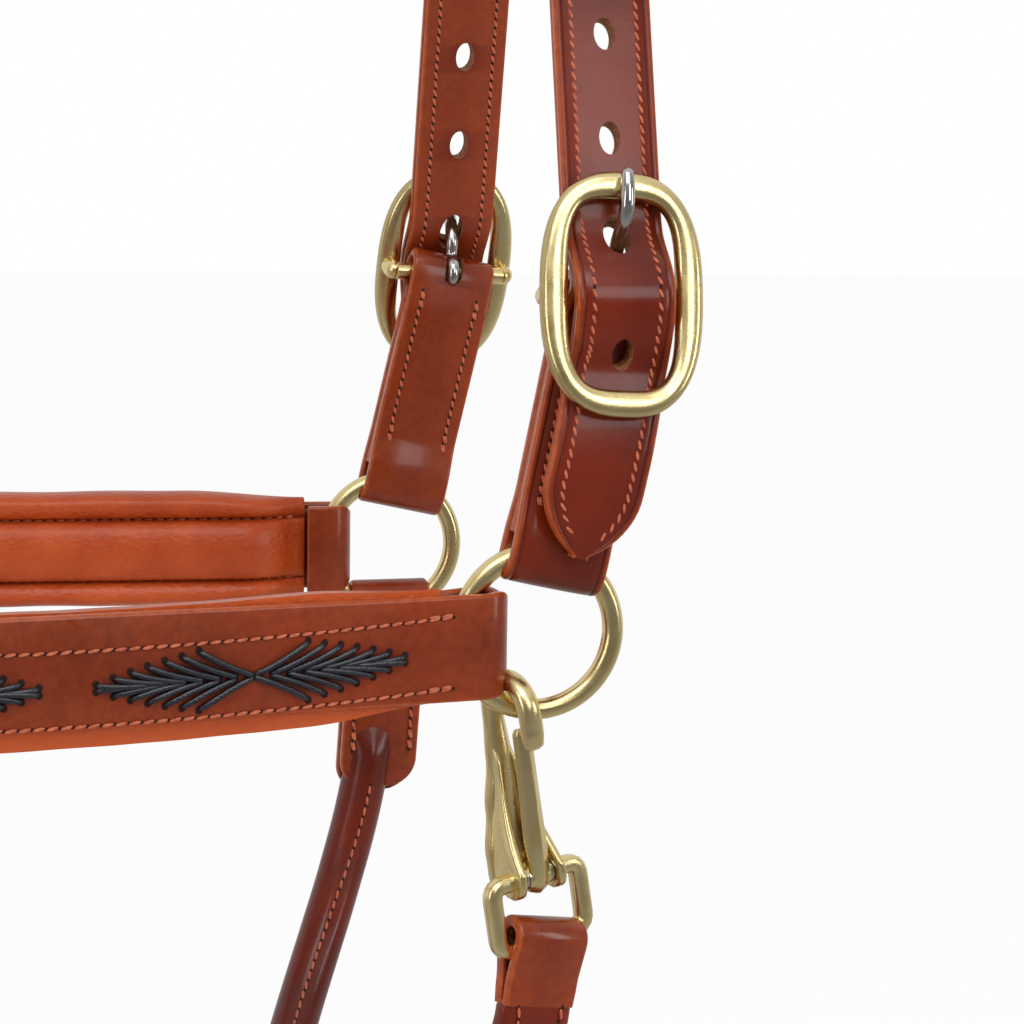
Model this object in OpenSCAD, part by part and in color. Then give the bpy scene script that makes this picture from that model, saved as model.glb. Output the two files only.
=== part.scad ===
// Leather headcollar with padded, laced cheeks and noseband.
// Millimetres. +X points to the back of the head, -Y is the near side, +Z is up.
// The origin is where the headpiece lining rests on the poll.

/* [Head] */
// Distance between the planes of the two upper rings
ring_span = 150; // [130:1:170]
// Distance between the planes of the two lower rings
lower_span = 190; // [176:1:204]
// Length of a cheek from upper ring centre to lower ring centre
cheek_len = 230; // [210:1:250]
// Radius of the headpiece where it bends over the poll
poll_r = 53; // [51:1:57]
// Height of the noseband above the lower rings
nose_rise = 104; // [90:1:116]
// Depth of the chin ring below the lower rings
chin_drop = 118; // [104:1:124]
// Depth of the throat strap below the upper rings
throat_drop = 155; // [146:1:168]
// Distance from the upper rings forward to the lowest part of the throat strap
throat_forward = 46; // [36:1:56]

/* [Rings] */
// Radius of each ring to the middle of its wire
ring_r = 18.8; // [18.4:0.1:19.6]
// Radius of the ring wire
wire_r = 2.5; // [2.2:0.1:2.7]
// Clearance between a ring wire and the leather round it
wire_gap = 0.35; // [0.3:0.05:0.5]

/* [Straps] */
// Thickness of one folded leather layer
layer = 3; // [2.6:0.1:3.2]
// Width of the chapes that carry the buckles
chape_w = 24; // [22:0.5:25]
// Width of the cheeks and the noseband
band_w = 25; // [23:0.5:26]
// Width of the headpiece strap
head_w = 24; // [21:0.5:25]
// Thickness of the headpiece, both layers together
head_t = 4.8; // [4:0.1:5.2]
// Width of the chin straps and the jaw strap
chin_w = 20; // [17:0.5:21]
// Thickness of the chin straps and the jaw strap
chin_t = 5; // [4:0.1:6]
// Radius of the rounded corners at a strap fold
fold_corner = 9; // [8:0.5:10]
// Thickness of the filler inside a chape
filler_t = 2.6; // [2:0.1:3]
// How far the middle of a cheek sits below the ring centres
cheek_sink = 2; // [0:0.5:2.5]

/* [Pads] */
// Depth of the padding behind the strap
pad_t = 11.8; // [9.5:0.1:12.5]
// Thickness of the pad's leather cover
cover_t = 1.6; // [1.2:0.1:2]
// How far the middle roll stands out past the two side rolls
roll_step = 1.2; // [0.6:0.1:2]
// How far the pad stands out past the strap's edges
pad_over = 3.3; // [1:0.1:4]
// Rounding of the pad's narrow side rolls, half their width
side_r = 3.6; // [2:0.1:3.8]
// Rounding of the pad's wide middle roll
mid_r = 5; // [3:0.5:7]

/* [Buckles] */
// Distance from upper ring centre to buckle bar
bar_reach = 80; // [76:1:84]
// Lean of the chape towards the back of the head
chape_lean = 12.4; // [10:0.2:13]
// Lean of the buckle towards the back of the head
buckle_lean = 3; // [0:0.5:3.5]
// Tilt of the buckle and headpiece in over the head
head_tilt = 13; // [12:0.5:14]
// Width of the buckle frame
buckle_w = 39.6; // [39:0.2:42]
// Length of the buckle frame
buckle_l = 58; // [56:0.5:60]
// Width of the buckle frame's rim
rim_w = 6.6; // [6:0.1:7]
// Thickness of the buckle frame
rim_t = 5; // [4:0.1:5.6]
// Radius of the buckle bar
bar_r = 2.5; // [2:0.1:2.6]
// Depth of the bar behind the middle of the frame
bar_set = 7; // [6.6:0.1:7.4]
// Radius of the tongue's wire
tongue_r = 2; // [1.6:0.1:2.1]
// Distance between holes in the headpiece
hole_pitch = 25; // [22:1:26]
// Width of the headpiece holes
hole_w = 5.5; // [5:0.1:6]
// Length of the headpiece holes
hole_l = 8; // [7:0.1:9]
// Length of the headpiece's loose end below the bar
tail_len = 61; // [56:1:64]

/* [Throat] */
// Diameter of the rolled throat strap
roll_d = 13.5; // [12:0.5:14.5]
// Thickness of the leather rolled round the core
roll_skin = 1.8; // [1.4:0.1:2.2]
// Width of the flat tab at the far end of the throat strap
tab_w = 22.5; // [20:0.5:23.5]
// Width of the flat near end of the throat strap
end_w = 20; // [17:0.5:20.5]
// Clearance round the throat strap inside the jaw strap's loop
jaw_gap = 1.8; // [1.5:0.1:2.4]

/* [Snap] */
// Radius of the hook's wire
hook_r = 2.6; // [2.4:0.1:3.1]
// Inside radius of the hook
hook_in = 5.5; // [5.2:0.1:5.8]
// Length of the snap from ring wire to the top bar of its eye
snap_len = 42; // [40:0.5:46]
// Lean of the snap towards the back of the head
snap_lean = 9; // [6:0.5:11]
// Turn of the snap about the upright
snap_turn = 18; // [14:1:22]
// Place on the ring where the hook sits, counted from the front
snap_angle = 250; // [246:1:254]
// Radius of the eye's wire
eye_r = 2.2; // [2:0.1:2.4]
// Distance between the eye's two bars
eye_h = 16; // [14:0.5:18]
// Width of the eye between the middles of its sides
eye_w = 25; // [24.5:0.5:28]
// Width of the snap's gate
gate_w = 5.5; // [4:0.1:5.8]
// Running clearance of a turning pin
pin_gap = 0.08; // [0.05:0.01:0.1]

/* [Hidden] */
$fn = 48;

brown = "#8a3f22";
tan = "#c0652f";
brass = "#c9b06a";
steel = "#b9bbbd";

// Rings and the folds round them
ring_out = ring_r + wire_r + wire_gap;
ring_in = ring_r - wire_r - wire_gap;
slot_half = wire_r + wire_gap;
fold_half = slot_half + layer;
loop_end = ring_out + 3;

// Distance from ring centre to the outside of a fold on a strap of half width hw,
// with corners of radius c, so that the wire inside stays clear of the leather.
function fold_at(hw, c, l = layer) =
    let (reach = hw - c + sqrt(c * c - pow(max(c - l, 0), 2)))
    sqrt(pow(ring_in, 2) - pow(min(reach, hw), 2)) - l;

chape_fold = fold_at(chape_w / 2, fold_corner);
band_fold = fold_at(band_w / 2 + cheek_sink, fold_corner);
nose_fold = fold_at(band_w / 2, fold_corner);
tab_fold = fold_at(tab_w / 2, fold_corner);
chin_fold = fold_at(chin_w / 2, fold_corner);
jaw_fold = fold_at(chin_w / 2, 0.01);

// Cheeks run outwards to the wider lower rings
cheek_yaw = asin((lower_span - ring_span) / 2 / (cheek_len - 2 * ring_r));
yaw_gap = 1;
lower_x = -cheek_len;

// Headpiece side view: buckle centre, then straight up to the bend over the poll
bar_x = bar_reach * sin(chape_lean);
bar_z = bar_reach * cos(chape_lean);
strap_low = -rim_t / 2 - head_t / 2 - 0.3;
strap_high = bar_r + layer - bar_set + head_t / 2 + 1.6;
arc_in = buckle_l / 2 - rim_w;
straight_y = ring_span / 2 + (bar_set + strap_low) * cos(head_tilt);
straight_z = bar_z + (bar_set + strap_low) * sin(head_tilt);
bend_y = poll_r * cos(head_tilt);
bend_z = straight_z + (straight_y - bend_y) / tan(head_tilt);
poll_mid = bend_z - poll_r * sin(head_tilt);
poll_z = poll_mid + poll_r - head_t / 2;
tail_y = ring_span / 2 + fold_half + head_t / 2 + 0.9;

// Headpiece line from loose end to loose end, as [y, z]
function on_buckle(s, n) = [
    ring_span / 2 + (bar_set + n) * cos(head_tilt) - s * sin(head_tilt),
    bar_z + (bar_set + n) * sin(head_tilt) + s * cos(head_tilt)
];
hump_run = arc_in - 4.4;
function hump(s) = strap_low + (strap_high - strap_low) * (1 + cos(180 * s / hump_run)) / 2;
tail_end = on_buckle(0, 0)[1] - tail_len;
half_line = concat(
    [[tail_y, tail_end], [tail_y, bar_z - buckle_l / 2 - 6]],
    [on_buckle(-buckle_l / 2, strap_low)],
    [for (s = [-hump_run : hump_run / 6 : hump_run + 0.01]) on_buckle(s, hump(s))],
    [for (a = [head_tilt : (90 - head_tilt) / 9 : 90.01]) [poll_r * cos(a), poll_mid + poll_r * sin(a)]]
);
head_line = concat(half_line, [for (i = [len(half_line) - 2 : -1 : 0]) [-half_line[i][0], half_line[i][1]]]);

// A line moved sideways by d, mitred at its points
function unit(v) = v / norm(v);
function left_of(v) = [-v[1], v[0]];
function moved(line, d) = [
    for (i = [0 : len(line) - 1])
        let (
            a = unit(line[min(i + 1, len(line) - 1)] - line[min(i, len(line) - 2)]),
            b = unit(line[max(i, 1)] - line[max(i - 1, 0)]),
            m = unit(left_of(a) + left_of(b))
        ) line[i] + m * d / (m * left_of(a))
];
function back(list) = [for (i = [len(list) - 1 : -1 : 0]) list[i]];

// Holes above the buckle, counted from the bar along the strap
hole_first = 13;
hole_rows = [for (i = [1 : 3]) hole_first + i * hole_pitch];

// Snap frame: the ring wire where the hook sits, and the two bars below it
hook_x = ring_r * cos(snap_angle);
hook_z = ring_r * sin(snap_angle);
hook_mid = hook_in + hook_r;
hook_drop = hook_in - wire_r - 1.7;
low_bar = -snap_len - eye_h;
end_len = 16;
end_t = 6;
function snap_point(p) =
    let (
        x = p[0] * cos(snap_turn) - p[1] * sin(snap_turn),
        y = p[0] * sin(snap_turn) + p[1] * cos(snap_turn)
    )
    [
        hook_x + x * cos(snap_lean) - p[2] * sin(snap_lean),
        y - ring_span / 2,
        hook_z + x * sin(snap_lean) + p[2] * cos(snap_lean)
    ];

// Throat strap: a curve down from each end to the lowest point
roll_r = roll_d / 2;
tab_end = 58;
throat_low = [-throat_forward, 0, -throat_drop];
near_start = snap_point([0, 0, low_bar - end_len]);
far_start = [0, ring_span / 2, -tab_end];
sway = 50;
function curve(p, t) = p[0] * pow(1 - t, 3) + p[1] * 3 * t * pow(1 - t, 2) + p[2] * 3 * t * t * (1 - t) + p[3] * pow(t, 3);
near_way = unit(near_start - snap_point([0, 0, 0]));
near_curve = [
    near_start + near_way * 3, near_start + near_way * 26,
    throat_low - [0, sway, 0], throat_low
];
far_curve = [far_start - [0, 0, 3], far_start - [2, 0, 52], throat_low + [0, sway, 0], throat_low];
turns = 18;
roll_line = concat(
    [far_start],
    [for (i = [0 : turns]) curve(far_curve, i / turns)],
    [for (i = [turns - 1 : -1 : 0]) curve(near_curve, i / turns)],
    [near_start]
);

// Puts ring-centred drawings into the frame of the part
module placed() translate([-bar_x, 0, -poll_z]) children();
module near() mirror([0, 1, 0]) children();
// Draws a side view, Y across and Z up, with its thickness along X
module side_view(w) rotate([90, 0, 90]) linear_extrude(w, center = true) children();
// Draws a front view, X across and Z up, with its thickness along Y
module front_view(w) rotate([90, 0, 0]) linear_extrude(w, center = true) children();

// Outline of a fold round a ring: first coordinate across the strap, second away from the ring
module fold_outline(fold, half, extra = 0) {
    hull() {
        translate([0, fold + half]) circle(half, $fn = 32);
        translate([0, loop_end - half + extra]) circle(half, $fn = 32);
    }
}
module wire_slot(fold, half) {
    hull() {
        translate([0, fold + layer + half]) circle(half, $fn = 32);
        translate([0, ring_out - half]) circle(half, $fn = 32);
    }
}
// Strap seen flat: rounded corners at the ring end, square at the other
module flat_outline(w, fold, far_end) {
    hull() {
        for (x = [-1, 1])
            translate([x * (w / 2 - fold_corner), fold + fold_corner]) circle(fold_corner, $fn = 32);
        translate([-w / 2, far_end - 1]) square([w, 1]);
    }
}

module ring(x, y, z) translate([x, y, z]) rotate([90, 0, 0]) rotate_extrude() translate([ring_r, 0]) circle(wire_r);

// Headpiece layers
module head_shape(low, high) {
    intersection() {
        side_view(80) polygon(concat(moved(head_line, low), back(moved(head_line, high))));
        translate([bar_x, 0, 0]) front_view(300) head_front();
    }
}
// The strap seen from the side of the head: upright above this point, leaning with the chape below it
lean_z = bar_z - 12;
module head_front() {
    translate([-head_w / 2, lean_z]) square([head_w, poll_z]);
    translate([0, lean_z]) rotate(-chape_lean) hull() {
        translate([-head_w / 2, -2]) square([head_w, 4]);
        translate([0, -(lean_z - tail_end - head_w / 2) / cos(chape_lean)]) circle(head_w / 2, $fn = 48);
    }
}
module oval(l) {
    hull() for (s = [-1, 1]) translate([0, s * (l - hole_w) / 2]) circle(hole_w / 2, $fn = 32);
}
tongue_slot = 12.5;
module head_holes() {
    on_bar() {
        for (s = hole_rows) rotate([0, 0, buckle_lean]) translate([0, s, -3 * head_t]) linear_extrude(4 * head_t) oval(hole_l);
        translate([0, hole_first + 0.4, -3 * head_t]) linear_extrude(4 * head_t) oval(tongue_slot);
        translate([0, -12, -3 * head_t]) linear_extrude(4 * head_t) oval(hole_l);
    }
}
// Far buckle frame of reference: X across, Y up the strap, Z outwards
module on_bar() {
    translate([bar_x, ring_span / 2, bar_z]) rotate([head_tilt, 0, 0]) rotate([0, buckle_lean, 0])
        rotate([90, 0, 0]) mirror([0, 0, 1]) translate([0, 0, bar_set]) children();
}
module headpiece(low, high) {
    difference() {
        head_shape(low, high);
        head_holes();
        near() head_holes();
    }
}
module headpiece_outer() color(brown) placed() headpiece(-head_t / 2, 0);
module headpiece_lining() color(tan) placed() headpiece(0, head_t / 2);

// Chape: folded round the ring below and round the bar above
chape_half = layer + filler_t / 2;
crest = bar_r + layer + pin_gap;
chape_set = 2.5;
chape_waist = bar_reach - 16;
module chape_side() {
    difference() {
        union() {
            fold_outline(chape_fold, fold_half);
            hull() {
                translate([0, loop_end - fold_half]) circle(fold_half, $fn = 32);
                translate([-chape_half, loop_end + 4]) square([2 * chape_half, 1]);
            }
            hull() {
                translate([-chape_half, loop_end + 4]) square([2 * chape_half, 1]);
                translate([-chape_half - chape_set, chape_waist]) square([2 * chape_half, 1]);
            }
            hull() {
                translate([-chape_half - chape_set, chape_waist]) square([2 * chape_half, 1]);
                translate([0, bar_reach]) circle(crest, $fn = 32);
            }
        }
        wire_slot(chape_fold, slot_half);
        chape_cavity(0);
    }
}
module chape_cavity(gap) {
    low = loop_end + 5 + gap;
    high = chape_waist - gap;
    half = filler_t / 2 - gap;
    polygon([[-half, low], [half, low], [half - chape_set, high], [-half - chape_set, high]]);
}
module chape() {
    difference() {
        translate([0, ring_span / 2, 0]) rotate([0, chape_lean, 0]) intersection() {
            side_view(chape_w) chape_side();
            front_view(40) flat_outline(chape_w, chape_fold, bar_reach + crest);
        }
        on_bar() {
            translate([0, 0, -bar_set]) rotate([0, 90, 0]) cylinder(h = buckle_w, r = bar_r + pin_gap, center = true);
            translate([0, 0, -bar_set]) rotate([0, 90, 0]) cylinder(h = tongue_w + 1, r = tongue_loop + 0.6, center = true);
            translate([-tongue_w / 2 - 0.5, 0, -bar_set - tongue_loop]) cube([tongue_w + 1, 14, 2 * tongue_loop]);
        }
    }
}
module chape_filler() {
    translate([0, ring_span / 2, 0]) rotate([0, chape_lean, 0]) side_view(chape_w - 4) chape_cavity(0.05);
}
module far_chape() color(brown) placed() chape();
module near_chape() color(brown) placed() near() chape();
module far_chape_filler() color(tan) placed() chape_filler();
module near_chape_filler() color(tan) placed() near() chape_filler();

// Buckle frame: a rounded oval rim with the bar set back on two posts
module oval_frame(w, l, c) {
    hull() for (x = [-1, 1], s = [-1, 1]) translate([x * (w / 2 - c), s * (l / 2 - c)]) circle(c, $fn = 64);
}
module buckle_frame() {
    post_x = buckle_w / 2 - rim_w / 2;
    on_bar() {
        translate([0, 0, -rim_t / 2]) linear_extrude(rim_t) difference() {
            oval_frame(buckle_w, buckle_l, buckle_w / 2 - 3);
            oval_frame(buckle_w - 2 * rim_w, buckle_l - 2 * rim_w, (buckle_w - 2 * rim_w) / 2 - 5.5);
        }
        for (x = [-1, 1]) translate([x * post_x, 0, -bar_set]) cylinder(h = bar_set, r = bar_r + 0.4);
        for (x = [-1, 1]) translate([x * post_x, 0, -bar_set]) sphere(bar_r + 0.4);
        translate([0, 0, -bar_set]) rotate([0, 90, 0]) cylinder(h = 2 * post_x, r = bar_r, center = true);
    }
}
module far_buckle_frame() color(brass) placed() buckle_frame();
module near_buckle_frame() color(brass) placed() near() buckle_frame();

// Tongue: a loop round the bar, then a bar up through the strap and over the rim
tongue_w = 4.6;
tongue_loop = bar_r + pin_gap + 2;
tongue_line = [
    [3, -bar_set + 0.6], [9.2, -bar_set + 0.4], [14.6, strap_low + head_t / 2 + tongue_r + 1.3],
    [20, rim_t / 2 + tongue_r + 0.05], [arc_in + rim_w - 0.5, rim_t / 2 + tongue_r + 0.1]
];
module buckle_tongue() {
    on_bar() difference() {
        union() {
            translate([0, 0, -bar_set]) rotate([0, 90, 0]) cylinder(h = tongue_w, r = tongue_loop, center = true);
            rotate([90, 0, 90]) linear_extrude(2 * tongue_r, center = true)
                polygon(concat(moved(tongue_line, -tongue_r), back(moved(tongue_line, tongue_r))));
        }
        translate([0, 0, -bar_set]) rotate([0, 90, 0]) cylinder(h = 2 * tongue_w, r = bar_r + pin_gap, center = true);
    }
}
module far_buckle_tongue() color(steel) placed() buckle_tongue();
module near_buckle_tongue() color(steel) placed() near() buckle_tongue();

// Rings
module far_upper_ring() color(brass) placed() ring(0, ring_span / 2, 0);
module near_upper_ring() color(brass) placed() ring(0, -ring_span / 2, 0);
module far_lower_ring() color(brass) placed() ring(lower_x, lower_span / 2, 0);
module near_lower_ring() color(brass) placed() ring(lower_x, -lower_span / 2, 0);

// Cheek: drawn along +Y of a local frame, from the upper ring towards the lower one
cheek_run = (cheek_len - 2 * ring_r) / cos(cheek_yaw) + 2 * ring_r;
cheek_slot = slot_half + yaw_gap;
cheek_half = cheek_slot + layer;
module on_cheek() {
    translate([-ring_r, ring_span / 2, -cheek_sink]) rotate([0, 0, -cheek_yaw]) rotate([0, 0, 90])
        translate([0, -ring_r, 0]) children();
}
module both_ends(length) {
    children();
    translate([0, length]) mirror([0, 1]) children();
}
// In this view the first coordinate is outwards from the head
module cheek_side() {
    difference() {
        union() {
            both_ends(cheek_run) {
                fold_outline(band_fold, cheek_half);
                translate([-cheek_half, loop_end - cheek_half]) square([layer, cheek_half]);
            }
            translate([cheek_slot, band_fold + cheek_half]) square([layer, cheek_run - 2 * band_fold - 2 * cheek_half]);
        }
        both_ends(cheek_run) {
            wire_slot(band_fold, cheek_slot);
            translate([-cheek_slot, ring_out - cheek_slot]) square([2 * cheek_slot, 40]);
        }
        translate([-2 * cheek_half, loop_end]) square([2 * cheek_half + cheek_slot, cheek_run - 2 * loop_end]);
    }
}
module cheek_flat() {
    hull() both_ends(cheek_run) flat_outline(band_w, band_fold, cheek_run / 2 + 0.5);
}
module cheek_strap() {
    on_cheek() intersection() {
        linear_extrude(band_w, center = true) cheek_side();
        rotate([0, 90, 0]) linear_extrude(60, center = true) cheek_flat();
    }
}
module far_cheek_strap() color(brown) placed() cheek_strap();
// The hook of the snap presses the lower corner of this fold back
hook_room = 2.6;
module near_cheek_strap() {
    color(brown) placed() difference() {
        near() cheek_strap();
        on_snap() across(-hook_drop, 0, hook_mid + hook_r + hook_room / 2, 2 * (hook_r + hook_room));
    }
}

// Pad section: flat against the strap; on the side of the head a wide roll between two narrow ones.
// First coordinate outwards from the head, second across the strap.
module pad_section(out, skin) {
    half = band_w / 2 + pad_over;
    valley = half - 2 * side_r;
    intersection() {
        offset(r = -skin, $fn = 16) {
            for (w = [-1, 1]) hull() {
                translate([out - pad_t + roll_step + side_r, w * (half - side_r)]) circle(side_r, $fn = 16);
                translate([out - 1, w * (half - side_r) - side_r]) square([4, 2 * side_r]);
            }
            hull() {
                for (w = [-1, 1])
                    translate([out - pad_t + mid_r, w * (valley - mid_r)]) circle(mid_r, $fn = 24);
                translate([out - 1, -valley]) square([4, 2 * valley]);
            }
            translate([out - pad_t * 0.55, -half + side_r]) square([pad_t, 2 * half - 2 * side_r]);
        }
        translate([out - 2 * pad_t - (skin > cover_t ? foam_gap : 0), -half]) square([2 * pad_t, 2 * half]);
    }
}
pad_start = loop_end + 0.1;
module cheek_pad(skin) {
    on_cheek() translate([0, pad_start + skin, 0]) rotate([-90, 0, 0])
        linear_extrude(cheek_run - 2 * pad_start - 2 * skin) pad_section(cheek_slot, skin);
}
module cheek_cover() {
    difference() {
        cheek_pad(0);
        cheek_pad(cover_t);
    }
}
foam_gap = 0.05;
module far_cheek_pad_cover() color(tan) placed() cheek_cover();
module near_cheek_pad_cover() color(tan) placed() near() cheek_cover();
module far_cheek_pad_foam() color("ivory") placed() cheek_pad(cover_t + foam_gap);
module near_cheek_pad_foam() color("ivory") placed() near() cheek_pad(cover_t + foam_gap);

// Noseband: up from the lower rings, round two corners and across the nose
nose_corner = 60;
nose_y = lower_span / 2;
nose_leg = nose_rise - nose_corner;
module along_nose(start) {
    for (s = [0, 1]) mirror([0, s, 0]) rotate([90, 0, 90]) {
        translate([nose_y, nose_leg, 0]) rotate([90, 0, 0]) linear_extrude(nose_leg - start) children();
        translate([nose_y - nose_corner, nose_leg, 0]) rotate_extrude(angle = 90)
            translate([nose_corner, 0]) children();
    }
    rotate([90, 0, 90]) translate([0, nose_rise, 0]) rotate([90, 0, 90])
        linear_extrude(2 * (nose_y - nose_corner), center = true) children();
}
module nose_end() {
    intersection() {
        side_view(band_w) translate([nose_y, 0]) difference() {
            union() {
                fold_outline(nose_fold, fold_half);
                translate([slot_half, nose_fold + fold_half]) square([layer, nose_leg - nose_fold - fold_half]);
                translate([-fold_half, loop_end - fold_half]) square([layer, fold_half]);
            }
            wire_slot(nose_fold, slot_half);
            translate([-slot_half, ring_out - slot_half]) square([2 * slot_half, 40]);
            translate([-2 * fold_half, loop_end]) square([2 * fold_half + slot_half, 40]);
        }
        front_view(400) flat_outline(band_w, nose_fold, nose_leg);
    }
}
module nose_strap_section() translate([slot_half, -band_w / 2]) square([layer, band_w]);
module noseband_strap() {
    color(brown) placed() translate([lower_x, 0, 0]) {
        nose_end();
        near() nose_end();
        along_nose(nose_leg - 1) nose_strap_section();
    }
}
module noseband_pad_cover() {
    color(tan) placed() translate([lower_x, 0, 0]) difference() {
        along_nose(pad_start) pad_section(slot_half, 0);
        along_nose(pad_start + cover_t) pad_section(slot_half, cover_t);
    }
}
module noseband_pad_foam() {
    color("ivory") placed() translate([lower_x, 0, 0])
        along_nose(pad_start + cover_t + foam_gap) pad_section(slot_half, cover_t + foam_gap);
}

// Chin strap: down from a lower ring, round a corner and in to the lead ring
chin_corner = 64;
module chin_side() {
    corner_y = nose_y - chin_corner;
    corner_z = chin_drop - chin_corner;
    difference() {
        union() {
            translate([nose_y, 0]) chin_loop();
            translate([0, chin_drop]) rotate(-90) chin_loop();
            translate([nose_y - chin_t / 2, loop_end]) square([chin_t, corner_z - loop_end]);
            translate([loop_end, chin_drop - chin_t / 2]) square([corner_y - loop_end, chin_t]);
            translate([corner_y, corner_z]) intersection() {
                difference() {
                    circle(chin_corner + chin_t / 2, $fn = 96);
                    circle(chin_corner - chin_t / 2, $fn = 96);
                }
                square(2 * chin_corner);
            }
        }
        translate([nose_y, 0]) wire_slot(chin_fold, slot_half);
        translate([0, chin_drop]) rotate(-90) wire_slot(chin_fold, slot_half);
    }
}
module chin_loop(half = fold_half) {
    fold_outline(chin_fold, half);
    hull() {
        translate([0, loop_end - half]) circle(half, $fn = 32);
        translate([-chin_t / 2, loop_end + 6]) square([chin_t, 1]);
    }
}
module chin_strap() {
    translate([lower_x, 0, 0]) mirror([0, 0, 1]) intersection() {
        side_view(chin_w) chin_side();
        front_view(400) flat_outline(chin_w, chin_fold, 2 * chin_drop);
        translate([0, 0, -chin_drop]) linear_extrude(4 * chin_drop) flat_outline(chin_w, chin_fold, 2 * nose_y);
    }
}
module far_chin_strap() color(brown) placed() chin_strap();
module near_chin_strap() color(brown) placed() near() chin_strap();
module lead_ring() {
    color(brass) placed() translate([lower_x, 0, -chin_drop])
        rotate_extrude() translate([ring_r, 0]) circle(wire_r);
}

// Jaw strap: from the lead ring back to a loop round the throat strap
jaw_reach = [-throat_forward - lower_x - ring_r, throat_drop - chin_drop];
jaw_slope = atan2(jaw_reach[1], jaw_reach[0]);
jaw_run = norm(jaw_reach) + ring_r;
jaw_slot = slot_half + yaw_gap + 0.6;
jaw_half = jaw_slot + layer;
jaw_loop = roll_r + jaw_gap;
module jaw_strap() {
    color(brown) placed() translate([lower_x + ring_r, 0, -chin_drop]) rotate([0, jaw_slope, 0])
        rotate([90, 0, 0]) linear_extrude(chin_w, center = true) translate([-ring_r, 0]) difference() {
            union() {
                rotate(-90) fold_outline(jaw_fold, jaw_half, 2);
                hull() {
                    translate([loop_end - jaw_half + 2, 0]) circle(jaw_half, $fn = 32);
                    translate([loop_end + 9, -chin_t / 2]) square([1, chin_t]);
                }
                translate([loop_end, -chin_t / 2]) square([jaw_run - loop_end - jaw_loop, chin_t]);
                hull() {
                    translate([jaw_run, 0]) circle(jaw_loop + layer);
                    translate([jaw_run - jaw_loop - layer - 12, -chin_t / 2]) square([1, chin_t]);
                }
            }
            rotate(-90) wire_slot(jaw_fold, jaw_slot);
            translate([jaw_run, 0]) circle(jaw_loop);
        }
}

// Throat strap: leather rolled round a core
module swept(line, r, hollow) {
    sides = 12;
    last = len(line) - 1;
    tangents = [for (i = [0 : last]) unit(line[min(i + 1, last)] - line[max(i - 1, 0)])];
    rings = [for (i = [0 : last])
        let (n = unit(cross(tangents[i], [1, 0, 0])), m = cross(tangents[i], n))
        [for (k = [0 : sides - 1]) line[i] + r * (n * cos(360 * k / sides) + m * sin(360 * k / sides))]];
    walls = [for (i = [0 : last - 1], k = [0 : sides - 1])
        [i * sides + k, (i + 1) * sides + k, (i + 1) * sides + (k + 1) % sides, i * sides + (k + 1) % sides]];
    first_cap = [for (k = [0 : sides - 1]) k];
    last_cap = [for (k = [sides - 1 : -1 : 0]) last * sides + k];
    polyhedron([for (q = rings, p = q) p], concat([first_cap], walls, [last_cap]), convexity = 4);
}
module throat_roll_cover() {
    color(brown) placed() difference() {
        swept(roll_line, roll_r);
        swept(core_line(0.5), roll_r - roll_skin);
    }
}
module throat_roll_core() color("wheat") placed() swept(core_line(-0.5), roll_r - roll_skin - 0.1);
// The roll's line, made longer or shorter at both ends
function core_line(e) = [
    for (i = [0 : len(roll_line) - 1])
        i == 0 ? roll_line[0] + unit(roll_line[0] - roll_line[1]) * e
        : i == len(roll_line) - 1 ? roll_line[i] + unit(roll_line[i] - roll_line[i - 1]) * e
        : roll_line[i]
];

// Flat tab that folds round the far ring
module throat_far_tab() {
    color(brown) placed() translate([0, ring_span / 2, 0]) mirror([0, 0, 1]) intersection() {
        side_view(tab_w) difference() {
            union() {
                fold_outline(tab_fold, fold_half);
                hull() {
                    translate([0, loop_end - fold_half]) circle(fold_half, $fn = 32);
                    translate([-layer, tab_end - 1]) square([2 * layer, 1]);
                }
            }
            wire_slot(tab_fold, slot_half);
        }
        front_view(60) flat_outline(tab_w, tab_fold, tab_end);
    }
}

// Snap frame: origin at the ring wire, X along the bars, -Y outwards
module on_snap() {
    translate([hook_x, -ring_span / 2, hook_z]) rotate([0, -snap_lean, 0]) rotate([0, 0, snap_turn]) children();
}
module across(z, y, r, l) translate([0, y, z]) rotate([0, 90, 0]) cylinder(h = l, r = r, center = true);

// Flat near end, folded round the lower bar of the eye
module throat_near_end() {
    color(brown) placed() on_snap() difference() {
        union() {
            across(low_bar, 0, eye_r + 0.15 + layer, end_w);
            translate([-end_w / 2, -end_t / 2, low_bar - end_len]) cube([end_w, end_t, end_len]);
        }
        across(low_bar, 0, eye_r + 0.15, 2 * end_w);
    }
}

// Snap body: hook, spine and a cup with two ears that hold the eye
ear_in = gate_w / 2 + 1.8;
ear_t = 3;
ear_r = eye_r + 2.6;
module snap_body() {
    color(brass) placed() on_snap() difference() {
        union() {
            translate([0, 0, -hook_drop]) rotate([0, 0, 90]) rotate([90, 0, 0])
                rotate_extrude(angle = 180) translate([hook_mid, 0]) circle(hook_r);
            translate([0, -hook_mid, -hook_drop - 6]) cylinder(h = 6, r = hook_r);
            translate([0, -hook_mid, -hook_drop - 6]) sphere(hook_r);
            translate([0, hook_mid, -snap_len + 14]) cylinder(h = snap_len - 14 - hook_drop, r = hook_r);
            hull() {
                translate([0, hook_mid, -snap_len + 16]) sphere(hook_r, $fn = 24);
                translate([-ear_in - ear_t, hook_mid - hook_r + 1, -snap_len - ear_r]) cube([2 * (ear_in + ear_t), hook_r + 1, 14]);
            }
            for (s = [-1, 1]) ear(s);
        }
        across(-snap_len, 0, eye_r + pin_gap, 60);
        translate([-ear_in, -20, -snap_len - 8]) cube([2 * ear_in, 20 + ear_r + 0.6, 20]);
    }
}
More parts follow.
